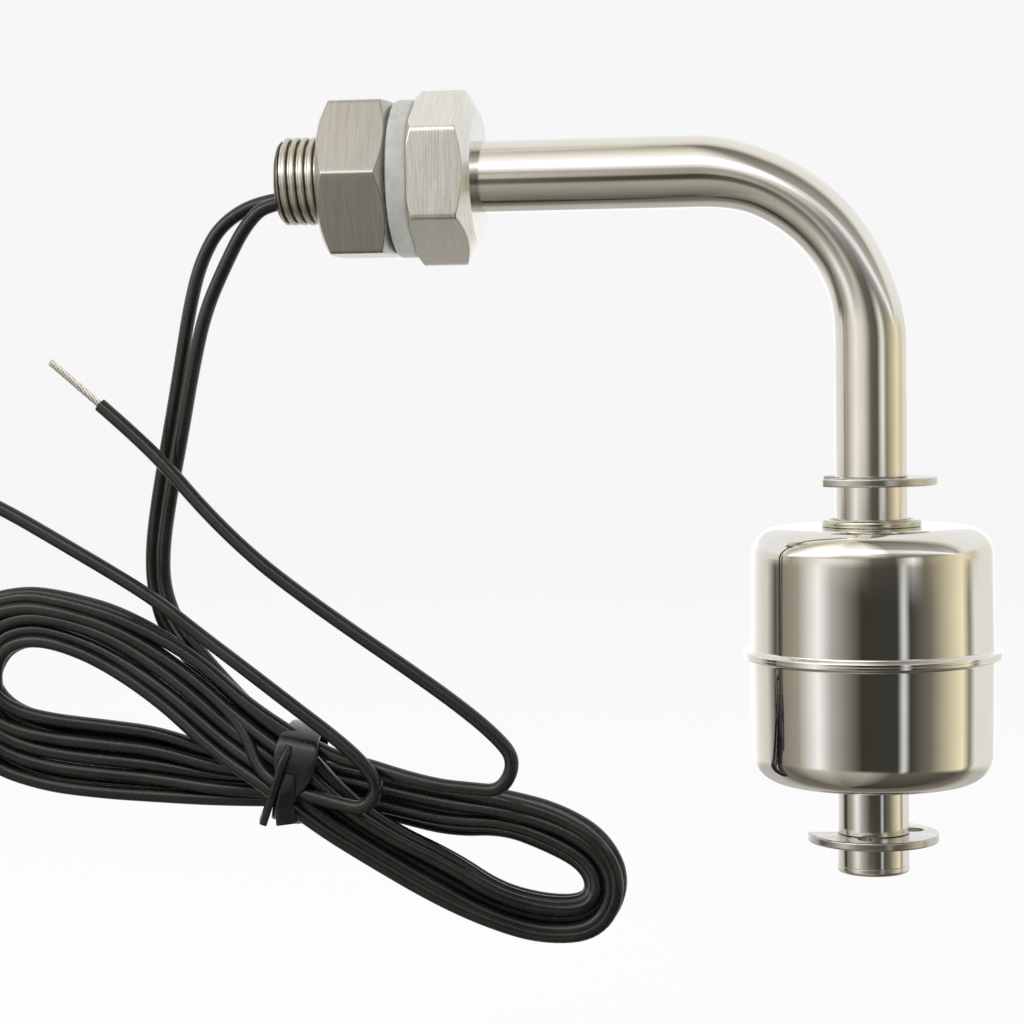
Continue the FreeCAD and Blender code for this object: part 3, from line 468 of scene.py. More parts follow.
def thread_ridge(start, end):
    """Triangular ridge carried along a right-hand helix, sunk a little into the shank.

    Its section is a flat-topped triangle, and where the lathe chamfered the end, no point stands
    above a 45 degree cone.
    """
    count = int((end - start) / THREAD_PITCH * RIDGE_STEPS)
    turn = np.arange(count + 1) / RIDGE_STEPS
    flank = 0.5 * THREAD_PITCH - 0.06
    away, share = np.array(CREST_SHAPE).T
    across = np.array([-flank, *-away, 0.0, *away[::-1], flank, 0.0])
    top = (CREST - ROOT) * share
    rise = np.array([-SUNK, *top, CREST - ROOT, *top[::-1], -SUNK, -2 * SUNK])
    fade = np.clip(np.minimum(turn, turn[-1] - turn) / 0.4, 0, 1)[:, None]
    x = start + THREAD_PITCH * turn[:, None] + across
    radius = ROOT - SUNK + (rise + SUNK) * fade
    cone = CREST - 0.65 + (x + THREAD_END)
    radius = np.minimum(radius, np.maximum(cone, ROOT - 2 * SUNK))
    x = np.maximum(x, 0.02 - THREAD_END)
    angle = 2 * np.pi * turn[:, None]
    points = np.stack([x, radius * np.cos(angle), radius * np.sin(angle)], axis=-1)
    return surface("fitting_thread", points * MM, poles=(True, True))


finish_piece(thread_ridge(-THREAD_END - 0.3, -1.3), "stem")

# %% [markdown]
# ## Gasket
#
# A flat ring of milky silicone, squeezed between the head and the wall. Its outline is a plain
# rectangle with soft corners, softer outside, where the rubber bulges.

# %% Gasket
GASKET_HOLE, GASKET_EDGE = 5.0, 8.8
gasket_outline = rounded(
    [(-GASKET, GASKET_HOLE), (-GASKET, GASKET_EDGE), (0, GASKET_EDGE), (0, GASKET_HOLE)],
    [0.1, 0.5, 0.5, 0.1])[:, 0]
gasket = turned("gasket_ring", gasket_outline, (0, 0, 0), (1, 0, 0))
finish_piece(gasket, "stem", "sealing_gasket")

# %% [markdown]
# ## The bent stem
#
# A tube that is bent loses a little of its roundness: it gets thinner in the plane of the bend and
# wider across it. The stem is a circle carried along a path of arm, arc and leg, and the circle
# becomes an oval on the arc. The wall has an inside too, so the outline runs out along the outer
# skin, through the two clip grooves, and back along the bore. Each point also keeps its unbent
# place as an attribute, "grain", so that the drawing lines of the finish can follow the bend.

# %% Stem tube
REACH = 50.05
BEND = 19.2
FOOT = 77.8
PLUG_RIM = 0.8
TUBE_BORE = 3.0
ARM = REACH - BEND - ARM_START
ARC = 0.5 * np.pi * BEND
LEG = FOOT - BEND - PLUG_RIM
FLATTENED, WIDENED = 0.1, 0.03
OVALLING = math.radians(25)  # the share of the bend over which round turns to oval
CLIP_HEIGHTS = (34.4, 73.9)
GROOVE, HALF_GROOVE = 3.5, 0.5


def stem_frame(s):
    """Place, inward normal and share of flattening at a distance along the stem's centreline."""
    turn = np.clip((s - ARM) / BEND, 0, 0.5 * np.pi)
    x = ARM_START + np.minimum(s, ARM) + BEND * np.sin(turn)
    z = -BEND * (1 - np.cos(turn)) - np.maximum(s - ARM - ARC, 0)
    normal = np.stack([np.sin(turn), np.zeros_like(s), np.cos(turn)], axis=-1)
    ramp = np.clip(np.minimum(turn, 0.5 * np.pi - turn) / OVALLING, 0, 1)
    return np.stack([x, np.zeros_like(s), z], axis=-1), normal, ramp * ramp * (3 - 2 * ramp)


def stem_surface(columns=112):
    """Tube wall carried along the stem, oval on the arc, grooved on the leg."""
    total = ARM + ARC + LEG
    corners, radii = [(0.0, TUBE_BORE), (0.0, STEM)], [0.05, 0.05]
    for drop in CLIP_HEIGHTS:
        above = ARM + ARC + drop - BEND - HALF_GROOVE
        below = above + 2 * HALF_GROOVE
        corners += [(above, STEM), (above, GROOVE), (below, GROOVE), (below, STEM)]
        radii += [0.08, 0.04, 0.04, 0.08]
    corners += [(total, STEM), (total, TUBE_BORE)]
    radii += [0.06, 0.05]
    outline = divided(rounded(corners, radii)[:, 0], 0.8)
    place, normal, flat = stem_frame(outline[:, 0])
    turn = full_turn(columns)
    thin = (outline[:, 1] * (1 - FLATTENED * flat))[:, None] * np.sin(turn)
    wide = (outline[:, 1] * (1 + WIDENED * flat))[:, None] * np.cos(turn)
    points = place[:, None] + thin[..., None] * normal[:, None]
    points[..., 1] += wide
    piece = surface("stem_skin", points * MM, along=True)
    grain = np.stack([
        STEM * np.cos(turn) + 0 * wide, STEM * np.sin(turn) + 0 * wide,
        np.repeat(outline[:, :1], columns, axis=1)], axis=-1)
    attribute = piece.data.attributes.new("grain", "FLOAT_VECTOR", "POINT")
    attribute.data.foreach_set("vector", grain.astype(np.float32).ravel())
    return piece


finish_piece(stem_surface(), "stem", "stem_tube")

# %% [markdown]
# ## The foot of the stem
#
# The tube is closed by a small turned plug: a rim as wide as the tube with a rounded edge, and a
# spigot in the bore. Its outline starts and ends on the axis, so both its poles are closed.

# %% Foot of the stem
PLUG_TOP = 3.8
foot_corners = [(0, 0), (0, STEM), (PLUG_RIM, STEM),
                (PLUG_RIM, TUBE_BORE), (PLUG_TOP, TUBE_BORE), (PLUG_TOP, 0)]
foot_outline = rounded(foot_corners, [0.01, 0.7, 0.06, 0.05, 0.1, 0.01])[:, 0]
on_axis = ARC_STEPS + 2      # the arcs at the two corners on the axis are left out
foot_outline = np.vstack([[0, 0], foot_outline[on_axis:-on_axis - 1], [PLUG_TOP, 0]])
foot = turned("stem_foot", foot_outline, (REACH, 0, -FOOT), (0, 0, 1), 96, (True, True))
finish_piece(foot, "stem", "stem_end_plug")

# %% [markdown]
# ## The float
#
# Two cups are drawn from thin sheet, each with a hole in its bottom and a flange round its rim, and
# the flanges are welded together. A tube with rolled lips runs through both holes. Polished sheet
# shows every flaw in its outline as a kink in the reflections, so the knuckles get long arcs.

# %% Float shells and inner tube
SEAM = (REACH, 0.0, -53.5)
HALF_FLOAT = 14.1
SHEET = 0.4
HOLE = 5.1
FLANGE, HALF_SEAM = 14.25, 0.45
LIP = HALF_FLOAT + 0.8
LIP_EDGE, LIP_BORE = 5.5, 4.6


def float_shell(name, side):
    """Cup turned from its outer outline back along the inner one; side is 1 above the seam."""
    corners = np.array([
        (HALF_FLOAT, HOLE), (HALF_FLOAT, 13.25), (HALF_SEAM, 13.4), (HALF_SEAM, FLANGE),
        (0.0, FLANGE), (0.0, 13.0), (HALF_FLOAT - SHEET, 12.85), (HALF_FLOAT - SHEET, HOLE)])
    outline = rounded(corners, [0.05, 3.1, 0.3, 0.4, 0.04, 0.1, 2.7, 0.05], steps=20)[:, 0]
    outline = divided(outline, 2.0)
    outline[:, 0] *= side
    return turned(name, outline, SEAM, (0, 0, 1), columns=256)


finish_piece(float_shell("float_upper_cup", 1), "float", "float_upper_shell")
finish_piece(float_shell("float_lower_cup", -1), "float", "float_lower_shell")
lip_corners = [
    (LIP, LIP_BORE), (LIP, LIP_EDGE), (HALF_FLOAT, LIP_EDGE), (HALF_FLOAT, HOLE),
    (-HALF_FLOAT, HOLE), (-HALF_FLOAT, LIP_EDGE), (-LIP, LIP_EDGE), (-LIP, LIP_BORE)]
lip_outline = rounded(lip_corners, [0.24, 0.38, 0.38, 0.05, 0.05, 0.38, 0.38, 0.24])[:, 0]
lips = turned("float_lips", lip_outline, SEAM, (0, 0, 1), columns=128)
finish_piece(lips, "float", "float_inner_tube")

# %% [markdown]
# ## The tie
#
# The hank is held by a flat strap of soft plastic that has been folded round its waist and twisted
# shut in front. A strap is a small flat rectangle carried along a path, and at each station of the
# path it may be turned and made narrower. That gives the fold at the top, the gathered neck and
# the two tails.

# %% Folded strap
def strap(name, stations, thickness=0.55, columns=20, closed=False):
    """Flat section carried along a path, on a Catmull-Rom curve through its stations.

    Each station holds the middle (x, y, z), the direction of the strap's width (x, y, z) and the
    width, in mm. The section is a rounded rectangle; its thin side is square to path and width.
    """
    stations = np.asarray(stations, float)
    count = len(stations)
    fine = np.linspace(0, count - (0 if closed else 1), 12 * count, endpoint=not closed)
    low = np.floor(fine).astype(int)
    t = (fine - low)[:, None]
    around = [low + k for k in (-1, 0, 1, 2)]
    picks = [pick % count if closed else np.clip(pick, 0, count - 1) for pick in around]
    a, b, c, d = (stations[pick] for pick in picks)
    square, cube = 2 * a - 5 * b + 4 * c - d, 3 * b - a - 3 * c + d
    data = 0.5 * (2 * b + (c - a) * t + square * t**2 + cube * t**3)
    middle, wide, width = data[:, :3], data[:, 3:6], data[:, 6:7]
    if closed:
        ahead = unit(np.roll(middle, -1, 0) - np.roll(middle, 1, 0))
    else:
        ahead = unit(np.gradient(middle, axis=0))
    wide = unit(wide - (wide * ahead).sum(axis=1, keepdims=True) * ahead)
    thin = np.cross(ahead, wide)
    turn = full_turn(columns) + np.pi / columns
    across = 0.5 * width * np.sign(np.cos(turn)) * np.abs(np.cos(turn)) ** 0.25
    through = 0.5 * thickness * np.sign(np.sin(turn)) * np.abs(np.sin(turn)) ** 0.6
    points = middle[:, None] + across[..., None] * wide[:, None] + through[:, None] * thin[:, None]
    if closed:
        return surface(name, points * MM, along=True)
    points = np.concatenate([points[:1] * 0 + middle[0], points, points[-1:] * 0 + middle[-1]])
    return surface(name, points * MM, poles=(True, True))


def join(name, pieces):
    """Make several meshes one object."""
    bpy.ops.object.select_all(action="DESELECT")
    for piece in pieces:
        piece.select_set(True)
    bpy.context.view_layer.objects.active = pieces[0]
    bpy.ops.object.join()
    pieces[0].name = name
    return pieces[0]


WIDE = (0.98, 0.0, -0.2)     # the band's width lies along the hank
band_stations = [
    (-14.1, -3.9, -62.9, 4.5), (-14.3, -4.9, -64.6, 5.0), (-14.6, -5.1, -66.7, 4.4),
    (-15.3, -5.0, -68.7, 2.7), (-15.9, -4.7, -70.6, 2.4), (-16.2, -3.4, -72.0, 2.8),
    (-16.4, -0.6, -72.6, 3.6), (-16.4, 2.6, -72.6, 3.9), (-16.2, 5.0, -71.4, 3.9),
    (-15.4, 5.8, -67.6, 3.9), (-14.6, 5.2, -63.8, 3.9), (-14.2, 2.6, -62.2, 3.9),
    (-14.0, -1.0, -62.1, 4.1)]
band = strap("tie_band", [(x, y, z, *WIDE, width) for x, y, z, width in band_stations], closed=True)
left_tail = strap("tie_left_tail", [
    (-15.2, -4.6, -63.6, 0.7, -0.7, 0.0, 1.2), (-15.7, -5.3, -65.2, 0.2, -1.0, 0.0, 1.6),
    (-16.4, -5.6, -67.5, 0.15, -1.0, 0.0, 2.0), (-17.2, -5.6, -69.8, 0.2, -1.0, 0.0, 2.3),
    (-18.1, -5.4, -72.1, 0.3, -1.0, 0.0, 2.5)], thickness=0.9)
right_tail = strap("tie_right_tail", [
    (-15.0, -5.2, -66.8, 1.0, 0.0, 0.0, 1.6), (-15.3, -5.6, -68.6, 1.0, 0.2, 0.0, 1.9),
    (-15.5, -5.7, -70.4, 1.0, 0.4, 0.0, 2.1), (-15.4, -5.5, -72.3, 1.0, 0.3, 0.0, 2.3)],
    thickness=0.8)
for part in (band, left_tail, right_tail):
    face_out(part)
finish_piece(join("tie_strap", [band, left_tail, right_tail]), "stem", "hank_tie")

# %% [markdown]
# ## Bare ends of the leads
#
# Where the insulation ends, a few twisted and tinned strands stick out. Each strand is a thin tube
# along a steep helix, and six of them lie round a seventh.

# %% Twisted tips
TIP = 7.6
TWIST = 6.0                  # length of one full turn of the strands
WIRE = 0.4 / 3 * MM          # radius of a strand, a third of the radius of the whole core


def twisted_tip(name, before, end, steps=40, around=8):
    """Seven strands: all but one circle the tip's line, a sixth of a turn apart."""
    along = unit(end - before)
    side = unit(np.cross(along, (0.0, 1.0, 0.0)))
    other = np.cross(along, side)
    distance = np.linspace(0, TIP * MM, steps)
    hoop = WIRE * circle(full_turn(around), side, other)
    strands = []
    for strand in range(7):
        swing = 2 * WIRE if strand else 0.0
        turn = 2 * np.pi * (strand / 6 + distance / (TWIST * MM))
        centre = end + distance[:, None] * along + swing * circle(turn, side, other)
        points = [centre[:1, None] + 0 * hoop, centre[:, None] + hoop, centre[-1:, None] + 0 * hoop]
        strands.append(surface(f"{name}_{strand}", np.concatenate(points), poles=(True, True)))
    return join(name, strands)


for name, (way_out, way_back) in ways.items():
    tip = twisted_tip(f"{name}_strands", *way_back[-2:])
    finish_piece(tip, "stem", f"{name}_tip")

# %% [markdown]
# ## Each lead's centre line
#
# A lead is a fixed length of wire. That length is what the turns and the free stretches add up to,
# and each lead's centre line is read from the finished curve.

def centreline(piece):
    """Points along a curve's own line, read from a copy with no bevel."""
    copy = piece.copy()
    copy.data = piece.data.copy()
    copy.data.bevel_depth = 0.0
    mesh = bpy.data.meshes.new_from_object(copy)
    points = np.empty(len(mesh.vertices) * 3)
    mesh.vertices.foreach_get("co", points)
    bpy.data.meshes.remove(mesh)
    bpy.data.objects.remove(copy)
    return points.reshape(-1, 3)


for name, (way_out, way_back) in ways.items():
    line = centreline(leads[name])

# %% [markdown]
# ## Studio light
#
# What the camera sees behind the object is plain white. The light that falls on dull surfaces is a
# little lower, and comes from the world and one big soft lamp above, at a level at which white
# paper just renders white. Nodes are made by a helper that sets or links all inputs at once.

# %% World and lamp
SKY_LIGHT = 0.62             # strength of the world for diffuse rays; for the others it is 1


def fill(node, inputs):
    """Set a node's inputs by name or number, or link those whose value is another's output."""
    for socket, value in inputs.items():
        if isinstance(value, bpy.types.NodeSocket):
            node.id_data.links.new(value, node.inputs[socket])
        else:
            node.inputs[socket].default_value = value
    return node


def add_node(tree, kind, inputs=None, **settings):
    """New shader node with its settings and inputs."""
    node = tree.nodes.new("ShaderNode" + kind)
    for name, value in settings.items():
        setattr(node, name, value)
    return fill(node, inputs or {})


scene.view_settings.view_transform = "Standard"
world = bpy.data.worlds.new("studio")
scene.world = world
world.use_nodes = True
tree = world.node_tree
rays = add_node(tree, "LightPath").outputs
seen = rays["Is Camera Ray"]
for kind in ("Is Glossy Ray", "Is Transmission Ray"):
    seen = add_node(tree, "Math", {0: seen, 1: rays[kind]}, operation="MAXIMUM").outputs[0]
level = add_node(tree, "MapRange", {"Value": seen, "To Min": SKY_LIGHT, "To Max": 1.0})
fill(tree.nodes["Background"], {"Color": (1, 1, 1, 1), "Strength": level.outputs["Result"]})

lamp_data = bpy.data.lights.new("top_lamp", "AREA")
lamp_data.size = 0.6
lamp_data.energy = 6.0
lamp = bpy.data.objects.new("top_lamp", lamp_data)
above = Vector((-0.25, -0.45, 0.75))
turn = (Vector(AIM.tolist()) - above).to_track_quat("-Z", "Y")
lamp.matrix_world = Matrix.LocRotScale(above, turn, None)
lamp.visible_glossy = False
scene.collection.objects.link(lamp)
print(f"world at {SKY_LIGHT} for dull surfaces, lamp of {lamp_data.energy} W")

# %% [markdown]
# ## Floor
#
# The floor is a sheet of white paper that curves up behind the object, so that the camera sees no
# line. Part of its brightness is its own, which keeps the shadows on it faint.

# %% Floor
FLOOR = -0.118
GLOW_SHARE = 0.8


def cover(name, *pieces):
    """New material on some pieces; returns its node tree."""
    material = bpy.data.materials.new(name)
    material.use_nodes = True
    for piece in pieces:
        piece.data.materials.clear()
        piece.data.materials.append(material)
    return material.node_tree


BEHIND, CURVE = 1.2, 0.5     # where the sheet starts to curve up, and its radius
turn = np.linspace(0, 0.5 * np.pi, 24)
y = np.concatenate([[-2.0], BEHIND + CURVE * np.sin(turn), [BEHIND + CURVE]])
z = np.concatenate([[FLOOR], FLOOR + CURVE * (1 - np.cos(turn)), [2.0]])
x = np.linspace(-2.5, 2.5, 5)[:, None] + 0 * y
floor = surface("paper_floor", np.stack([x, y + 0 * x, z + 0 * x], axis=-1), around=False)
floor.visible_glossy = False
tree = cover("paper", floor)
sheet = fill(tree.nodes["Principled BSDF"], {
    "Base Color": (0.9, 0.9, 0.9, 1), "Roughness": 0.9, "Specular IOR Level": 0.0})
rays = add_node(tree, "LightPath").outputs
share = add_node(tree, "Math", {0: rays["Is Camera Ray"], 1: GLOW_SHARE}, operation="MULTIPLY")
glow = add_node(tree, "Emission")
blend = add_node(tree, "MixShader", {
    "Fac": share.outputs[0], 1: sheet.outputs[0], 2: glow.outputs[0]})
fill(tree.nodes["Material Output"], {"Surface": blend.outputs[0]})
print(f"floor {-FLOOR / MM:.0f} mm under the thread's axis")

# %% [markdown]
# ## Light tent
#
# Polished steel has hardly a colour of its own: it shows the room. So it gets a room to show, a
# sphere that only glossy rays see. A real one would be a tent of white cloth with black cards in
# it. It stands close, at 0.3 m, so that float, leg and head each face another part of the cloth
# and show other bands.
#
# The cloth is drawn as ramps over an angle, each a short list of stops. A heading runs round the
# object, 0 at the camera and positive to its right: there is a dark gap at the camera, bright
# cloth on both sides of it and warm paper at the far right, in one version for the upper and one
# for the lower part of the float. Over head and under foot a second angle takes over, from the
# floor past the camera to the ceiling. A strip lamp hangs there, strong on the left and weak on
# the right.

# %% Light tent
TENT = 0.3


def tent_ramp(tree, value, *stops):
    """Colour ramp from the first stop to the last.

    A stop is (value, brightness, warmth). Warmth takes away its share of blue, and of green 0.3
    times as much.
    """
    low, high = stops[0][0], stops[-1][0]
    spread = add_node(tree, "MapRange", {"Value": value, "From Min": low, "From Max": high})
    ramp = add_node(tree, "ValToRGB", {"Fac": spread.outputs["Result"]})
    elements = ramp.color_ramp.elements
    while len(elements) < len(stops):
        elements.new(0.5)
    for element, (place, grey, warmth) in zip(elements, stops):
        element.position = (place - low) / (high - low)
        element.color = (grey, grey * (1 - 0.3 * warmth), grey * (1 - warmth), 1)
    return ramp.outputs["Color"]


def tent_angle(tree, up, ahead):
    """Angle in degrees from two coordinates: atan2(up, ahead)."""
    angle = add_node(tree, "Math", {0: up, 1: ahead}, operation="ARCTAN2")
    return add_node(tree, "Math", {0: angle.outputs[0]}, operation="DEGREES").outputs[0]


def tent_mix(tree, share, first, second, blend_type="MIX"):
    """Mix of two colours by a share."""
    inputs = {"Factor": share, "A": first, "B": second}
    mix = add_node(tree, "Mix", inputs, data_type="RGBA", blend_type=blend_type)
    return mix.outputs["Result"]


latitude = np.linspace(-0.5 * np.pi, 0.5 * np.pi, 48)
arc = TENT / MM * np.stack([np.sin(latitude), np.cos(latitude)], axis=-1)
tent = turned("light_tent", arc, (0, 0, 0), (0, 0, 1), 96, (True, True))
for hidden in ("camera", "diffuse", "transmission", "volume_scatter", "shadow"):
    setattr(tent, f"visible_{hidden}", False)
tree = cover("tent_cloth", tent)
tree.nodes.remove(tree.nodes["Principled BSDF"])
split = add_node(tree, "SeparateXYZ", {0: add_node(tree, "TexCoord").outputs["Object"]})
to_right, to_back, height = (split.outputs[axis] for axis in "XYZ")
ahead = add_node(tree, "Math", {0: to_back, 1: -1.0}, operation="MULTIPLY").outputs[0]
heading = tent_angle(tree, to_right, ahead)
tilt = tent_angle(tree, height, ahead)
upper_walls = tent_ramp(
    tree, heading,
    (-160, 1.2, 0), (-140, 0.9, 0), (-100, 0.8, 0.15), (-80, 0.4, 0.25), (-40, 1.05, 0.1),
    (-10, 0.75, 0.15), (10, 0.15, 0.3), (30, 0.1, 0.25), (45, 1.05, 0.05), (55, 0.25, 0.35),
    (70, 0.55, 0.4), (90, 1.0, 0.35), (105, 0.7, 0.35), (115, 0.9, 0.15), (140, 0.9, 0.1),
    (160, 1.2, 0))
lower_walls = tent_ramp(
    tree, heading,
    (-160, 1.2, 0), (-140, 0.9, 0.1), (-120, 0.75, 0.1), (-105, 0.1, 0.2), (-95, 0.25, 0.2),
    (-70, 0.4, 0.25), (-45, 1.1, 0), (-30, 0.5, 0.05), (-15, 0.25, 0.1), (0, 0.05, 0.3),
    (32, 0.05, 0.1), (37, 0.85, 0), (42, 0.05, 0.1), (60, 0.2, 0.3), (90, 1.05, 0.35),
    (98, 0.25, 0.4), (105, 0.9, 0.05), (140, 0.85, 0.05), (160, 1.2, 0))
vault = tent_ramp(
    tree, tilt,
    (-135, 0.55, 0.05), (-120, 0.55, 0.15), (-105, 0.2, 0.2), (-85, 0.15, 0.25), (-45, 0.4, 0.2),
    (-20, 0.5, 0.15), (-8, 0.3, 0.2), (8, 0.45, 0.1), (17, 1.05, 0), (22, 1.2, 0), (26, 2.8, 0),
    (38, 2.8, 0), (43, 1.2, 0), (50, 1.2, 0.1), (80, 0.55, 0.25), (105, 0.95, 0.1), (135, 0.95, 0))
sides = tent_ramp(
    tree, heading,
    (-180, 1, 0), (-75, 1, 0), (-60, 1.4, 0), (-35, 1.4, 0), (-20, 1, 0), (6, 1, 0), (28, 0.3, 0),
    (75, 0.4, 0), (100, 1, 0), (180, 1, 0))
lower_share = tent_ramp(tree, height, (-0.065, 1, 0), (-0.045, 0, 0))
vault_share = tent_ramp(
    tree, height, (-0.16, 1, 0), (-0.125, 0, 0), (0.005, 0, 0), (0.04, 1, 0))
walls = tent_mix(tree, lower_share, upper_walls, lower_walls)
vault = tent_mix(tree, 1.0, vault, sides, "MULTIPLY")
lit = add_node(tree, "Emission", {"Color": tent_mix(tree, vault_share, walls, vault)})
fill(tree.nodes["Material Output"], {"Surface": lit.outputs[0]})
print(f"light tent of {TENT} m radius, {len(tree.nodes)} nodes")

# %% [markdown]
# ## Finishes
#
# Every finish starts from the same few parts: a noise that is stretched the way the tool ran over
# the surface, which drives a little roughness and a little bump, and a noise, often a slower one,
# that moves the colour between two tones. The noise reads coordinates in millimetres, so its
# stretch can be compared with the piece. One function, coat, takes up what repeats.

# %% Finish helpers
STEEL = np.array([0.80, 0.785, 0.74])


def stretched_noise(tree, stretch, detail=3.0, attribute=None):
    """Noise on coordinates in millimetres, divided by one stretch or by one for each axis."""
    if attribute:
        source = add_node(tree, "Attribute", attribute_name=attribute)
        vector, scale = source.outputs["Vector"], 1.0
    else:
        vector, scale = add_node(tree, "TexCoord").outputs["Object"], 1 / MM
    scales = scale / np.broadcast_to(stretch, 3)
    mapping = add_node(tree, "Mapping", {"Vector": vector, "Scale": scales.tolist()})
    noise = add_node(tree, "TexNoise", {
        "Vector": mapping.outputs[0], "Scale": 1.0, "Detail": detail, "Roughness": 0.6})
    return noise.outputs["Fac"]


def vary_roughness(tree, shader, noise, low, high):
    """Roughness between two values, from a noise's middle half."""
    spread = add_node(tree, "MapRange", {
        "Value": noise, "From Min": 0.25, "From Max": 0.75, "To Min": low, "To Max": high})
    fill(shader, {"Roughness": spread.outputs["Result"]})


def tint(tree, shader, value, first, second, start=0.3, end=0.7):
    """Base colour between two colours, over a part of a value's way from 0 to 1."""
    ramp = add_node(tree, "ValToRGB", {"Fac": value})
    stops = ((start, first), (end, second))
    for element, (place, colour) in zip(ramp.color_ramp.elements, stops):
        element.position = place
        element.color = (*colour, 1)
    fill(shader, {"Base Color": ramp.outputs["Color"]})


def bump(tree, shader, noise, height):
    """Bump of a height in metres from a noise."""
    node = add_node(tree, "Bump", {"Height": noise, "Strength": 1.0, "Distance": height})
    fill(shader, {"Normal": node.outputs["Normal"]})


def coat(name, pieces, grain, tones, rough, metallic=1.0, height=0.0, tone_grain=None,
         detail=3.0, attribute=None):
    """Finish from noise, on pieces or CAD nodes by name; returns its node tree and shader.

    grain is the stretch of the noise behind roughness and bump, and tone_grain that of the one
    behind the colour, where it is another. tones are two colours, or one that a later line
    replaces. rough is one roughness or two ends, and height is that of the bump in metres.
    """
    tree = cover(name, *(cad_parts.get(piece) or bpy.data.objects[piece] for piece in pieces))
    shader = fill(tree.nodes["Principled BSDF"], {
        "Base Color": (*np.mean(tones, axis=0), 1), "Roughness": float(np.mean(rough)),
        "Metallic": metallic})
    fine = stretched_noise(tree, grain, detail, attribute)
    if len(tones) > 1:
        broad = stretched_noise(tree, tone_grain, detail, attribute) if tone_grain else fine
        tint(tree, shader, broad, *tones)
    if np.ndim(rough):
        vary_roughness(tree, shader, fine, *rough)
    if height:
        bump(tree, shader, fine, height)
    print(f"{name}: on {', '.join(pieces)}")
    return tree, shader


print("steel reflects", STEEL)

# %% [markdown]
# ## Drawn, turned and blanked steel
#
# The tube was drawn through a die and lightly polished, which leaves fine lines along it. They
# follow the bend because their noise reads each point's unbent place. The foot was turned, so its
# lines run round it. The clips are blanked from rolled sheet and tumbled, darker and duller; part
# of their darkness is painted shade, for the float's shadow on the lower clip.

# %% Stem, foot and clips
coat("satin_tube", ["stem_skin"], (0.25, 0.25, 14.0), (STEEL * 0.96, STEEL * 1.03), (0.09, 0.17),
     height=1.2e-6, tone_grain=(3.0, 3.0, 9.0), attribute="grain")
coat("turned_steel", ["stem_foot"], (2.0, 2.0, 0.12), (STEEL * 0.94, STEEL * 1.03), (0.14, 0.26),
     height=1.5e-6, tone_grain=2.5)
# the clips' darker tones are partly their own and partly painted shade for the lower clip's shadow
coat("blanked_sheet", ["upper_clip", "lower_clip"], (3.0, 0.8, 3.0), (STEEL * 0.68, STEEL * 0.8),
     (0.19, 0.3), tone_grain=2.0, detail=1.0)

# %% [markdown]
# ## The float's polish
#
# The float is buffed to a near mirror, with the faintest streaks along its axis. Thin drawn sheet
# isn't quite true, so a very slow, very low bump bends the reflections a little. The lips are
# rolled and not buffed, rougher and lined round their rim; their darker, yellower colour is painted
# shade and painted reflection.

# %% Float and lips
tree, shader = coat(
    "polished_sheet", ["float_upper_cup", "float_lower_cup"], (0.35, 0.35, 5.0),
    (STEEL * 0.98, STEEL * 1.02), (0.02, 0.05), tone_grain=4.0)
bump(tree, shader, stretched_noise(tree, (6.0, 6.0, 9.0), detail=1.0), 6e-6)
# the lips' darker, yellower tones are painted shade and a painted dark reflection
coat("rolled_lip_painted_shade", ["float_lips"], (2.5, 2.5, 0.1),
     (STEEL * (0.62, 0.61, 0.52), STEEL * (0.84, 0.83, 0.76)), (0.12, 0.22))

# %% [markdown]
# ## Milled head and nut
#
# The flats come from drawn hexagon bar and the faces from the lathe. A brushed noise that is very
# short along the axis gives the fine upright lines on the flats. The nut is darker and duller than
# the head, so the two share one loop and differ in three numbers.

# %% Head and nut
for name, share, metallic, rough in (
        ("fitting_body", 1.0, 0.96, 0.25), ("lock_nut_body", 0.64, 1.0, 0.3)):
    coat(f"milled_{name}", [name], (0.14, 5.0, 5.0),
         (STEEL * share * 0.82, STEEL * share * 1.06), (rough - 0.08, rough + 0.08),
         metallic=metallic, height=2.5e-6)

# %% [markdown]
# ## Thread
#
# The grooves of the thread get painted shade. How deep a point lies is simply its distance from the
# thread's axis, so the colour is a ramp over that distance, from dark brown painted shade at the
# root to steel near the crest.

# %% Thread, with painted shade in its grooves
# dark brown painted shade at the roots of the grooves; the crests keep the steel's colour
GROOVE_SHADE = (0.13, 0.10, 0.07)
tree, shader = coat("rolled_thread", ["fitting_thread"], (1.0, 0.6, 0.6), [STEEL * 0.85],
                    (0.24, 0.4), metallic=0.95)
place = add_node(tree, "TexCoord").outputs["Object"]
across_axis = add_node(tree, "VectorMath", {0: place, 1: (0, 1 / MM, 1 / MM)}, operation="MULTIPLY")
from_axis = add_node(tree, "VectorMath", {0: across_axis.outputs[0]}, operation="LENGTH")
deep = add_node(tree, "MapRange", {
    "Value": from_axis.outputs["Value"], "From Min": ROOT, "From Max": CREST})
tint(tree, shader, deep.outputs["Result"], GROOVE_SHADE, STEEL * (0.76, 0.73, 0.65), 0.45, 0.95)
print("grooves darken below a radius of", round(ROOT + 0.95 * (CREST - ROOT), 2), "mm")

# %% [markdown]
# ## Silicone, insulation and tin
#
# Milky silicone lets a little light in and gives it back softened, which is what subsurface
# scattering does. The insulation of the leads and the plastic of the tie are black, soft and
# slightly glossy, with a dusty unevenness that is finer than the wire is thick. The bare strands
# are tinned: paler and warmer than steel, and dull.

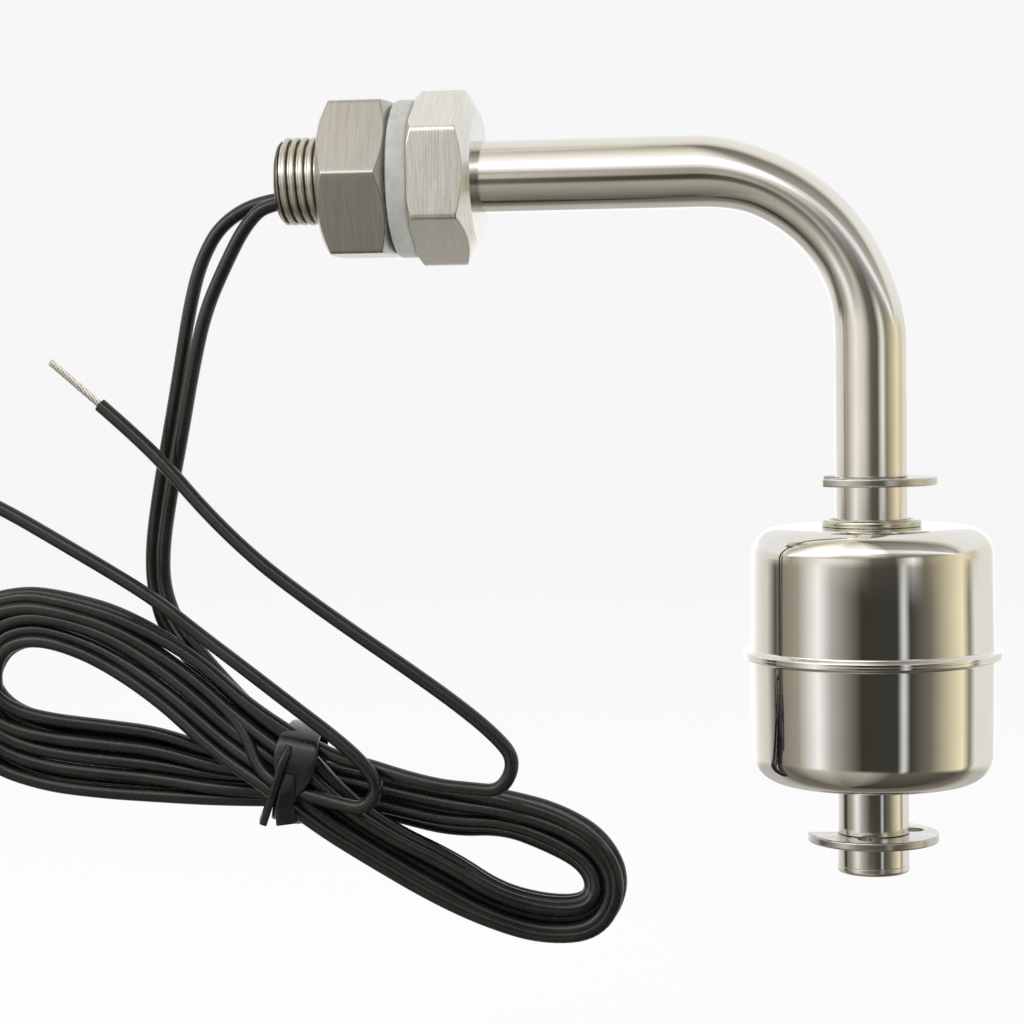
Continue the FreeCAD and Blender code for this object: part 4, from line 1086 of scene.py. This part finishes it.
# %% Gasket, leads and strands
tree, shader = coat(
    "milky_silicone", ["gasket_ring"], 1.5, ((0.40, 0.40, 0.37), (0.49, 0.49, 0.46)),
    (0.36, 0.5), metallic=0.0, height=2e-5)
fill(shader, {"Subsurface Weight": 0.5, "Subsurface Radius": (3 * MM, 3 * MM, 3 * MM),
              "Subsurface Scale": 0.4})
coat("black_insulation", [*ways, "tie_strap", "lead_1_inner", "lead_2_inner"], 0.5,
     ((0.005, 0.005, 0.0045), (0.014, 0.0135, 0.012)), (0.17, 0.31), metallic=0.0, height=2e-5,
     tone_grain=5.0)
coat("tinned_strands",
     ["lead_1_strands", "lead_2_strands", "solder_joint_upper", "solder_joint_lower"],
     0.3, ((0.62, 0.56, 0.50), (0.80, 0.78, 0.74)), (0.28, 0.45))

# %% [markdown]
# ## Inside
#
# The magnet, its two rings and the reed switch are hidden, but somebody may cut the object open.
# So each gets what its material shows: ferrite is dark and gritty, nylon cloudy, the shrunk sleeve
# wrinkled, the plated blades lined by rolling, and the resin black and wavy. Only it can be seen.

# %% Inside pieces
coat("ferrite", ["ring_magnet"], 0.2, ((0.035, 0.035, 0.04), (0.08, 0.08, 0.085)),
     (0.5, 0.7), metallic=0.0)
coat("natural_nylon", ["magnet_retainer_upper", "magnet_retainer_lower"], 1.0,
     ((0.74, 0.72, 0.63), (0.82, 0.80, 0.73)), 0.45, metallic=0.0)
coat("shrunk_sleeve", ["reed_sleeve"], (0.6, 0.6, 0.2), ((0.02, 0.02, 0.02), (0.045, 0.045, 0.045)),
     0.5, metallic=0.0, height=3e-5)
coat("plated_blade", ["reed_blade_upper", "reed_blade_lower"], (0.1, 0.1, 1.5),
     ((0.66, 0.60, 0.48), (0.76, 0.70, 0.58)), (0.25, 0.4))
coat("cast_resin", ["potting_plug"], 1.2, ((0.014, 0.014, 0.016), (0.03, 0.03, 0.032)),
     (0.15, 0.35), metallic=0.0, height=6e-5)
tree, shader = coat(
    "reed_glass", ["reed_capsule"], 2.0, ((0.76, 0.90, 0.81), (0.84, 0.94, 0.87)),
    0.05, metallic=0.0)
fill(shader, {"Transmission Weight": 0.9, "IOR": 1.5})
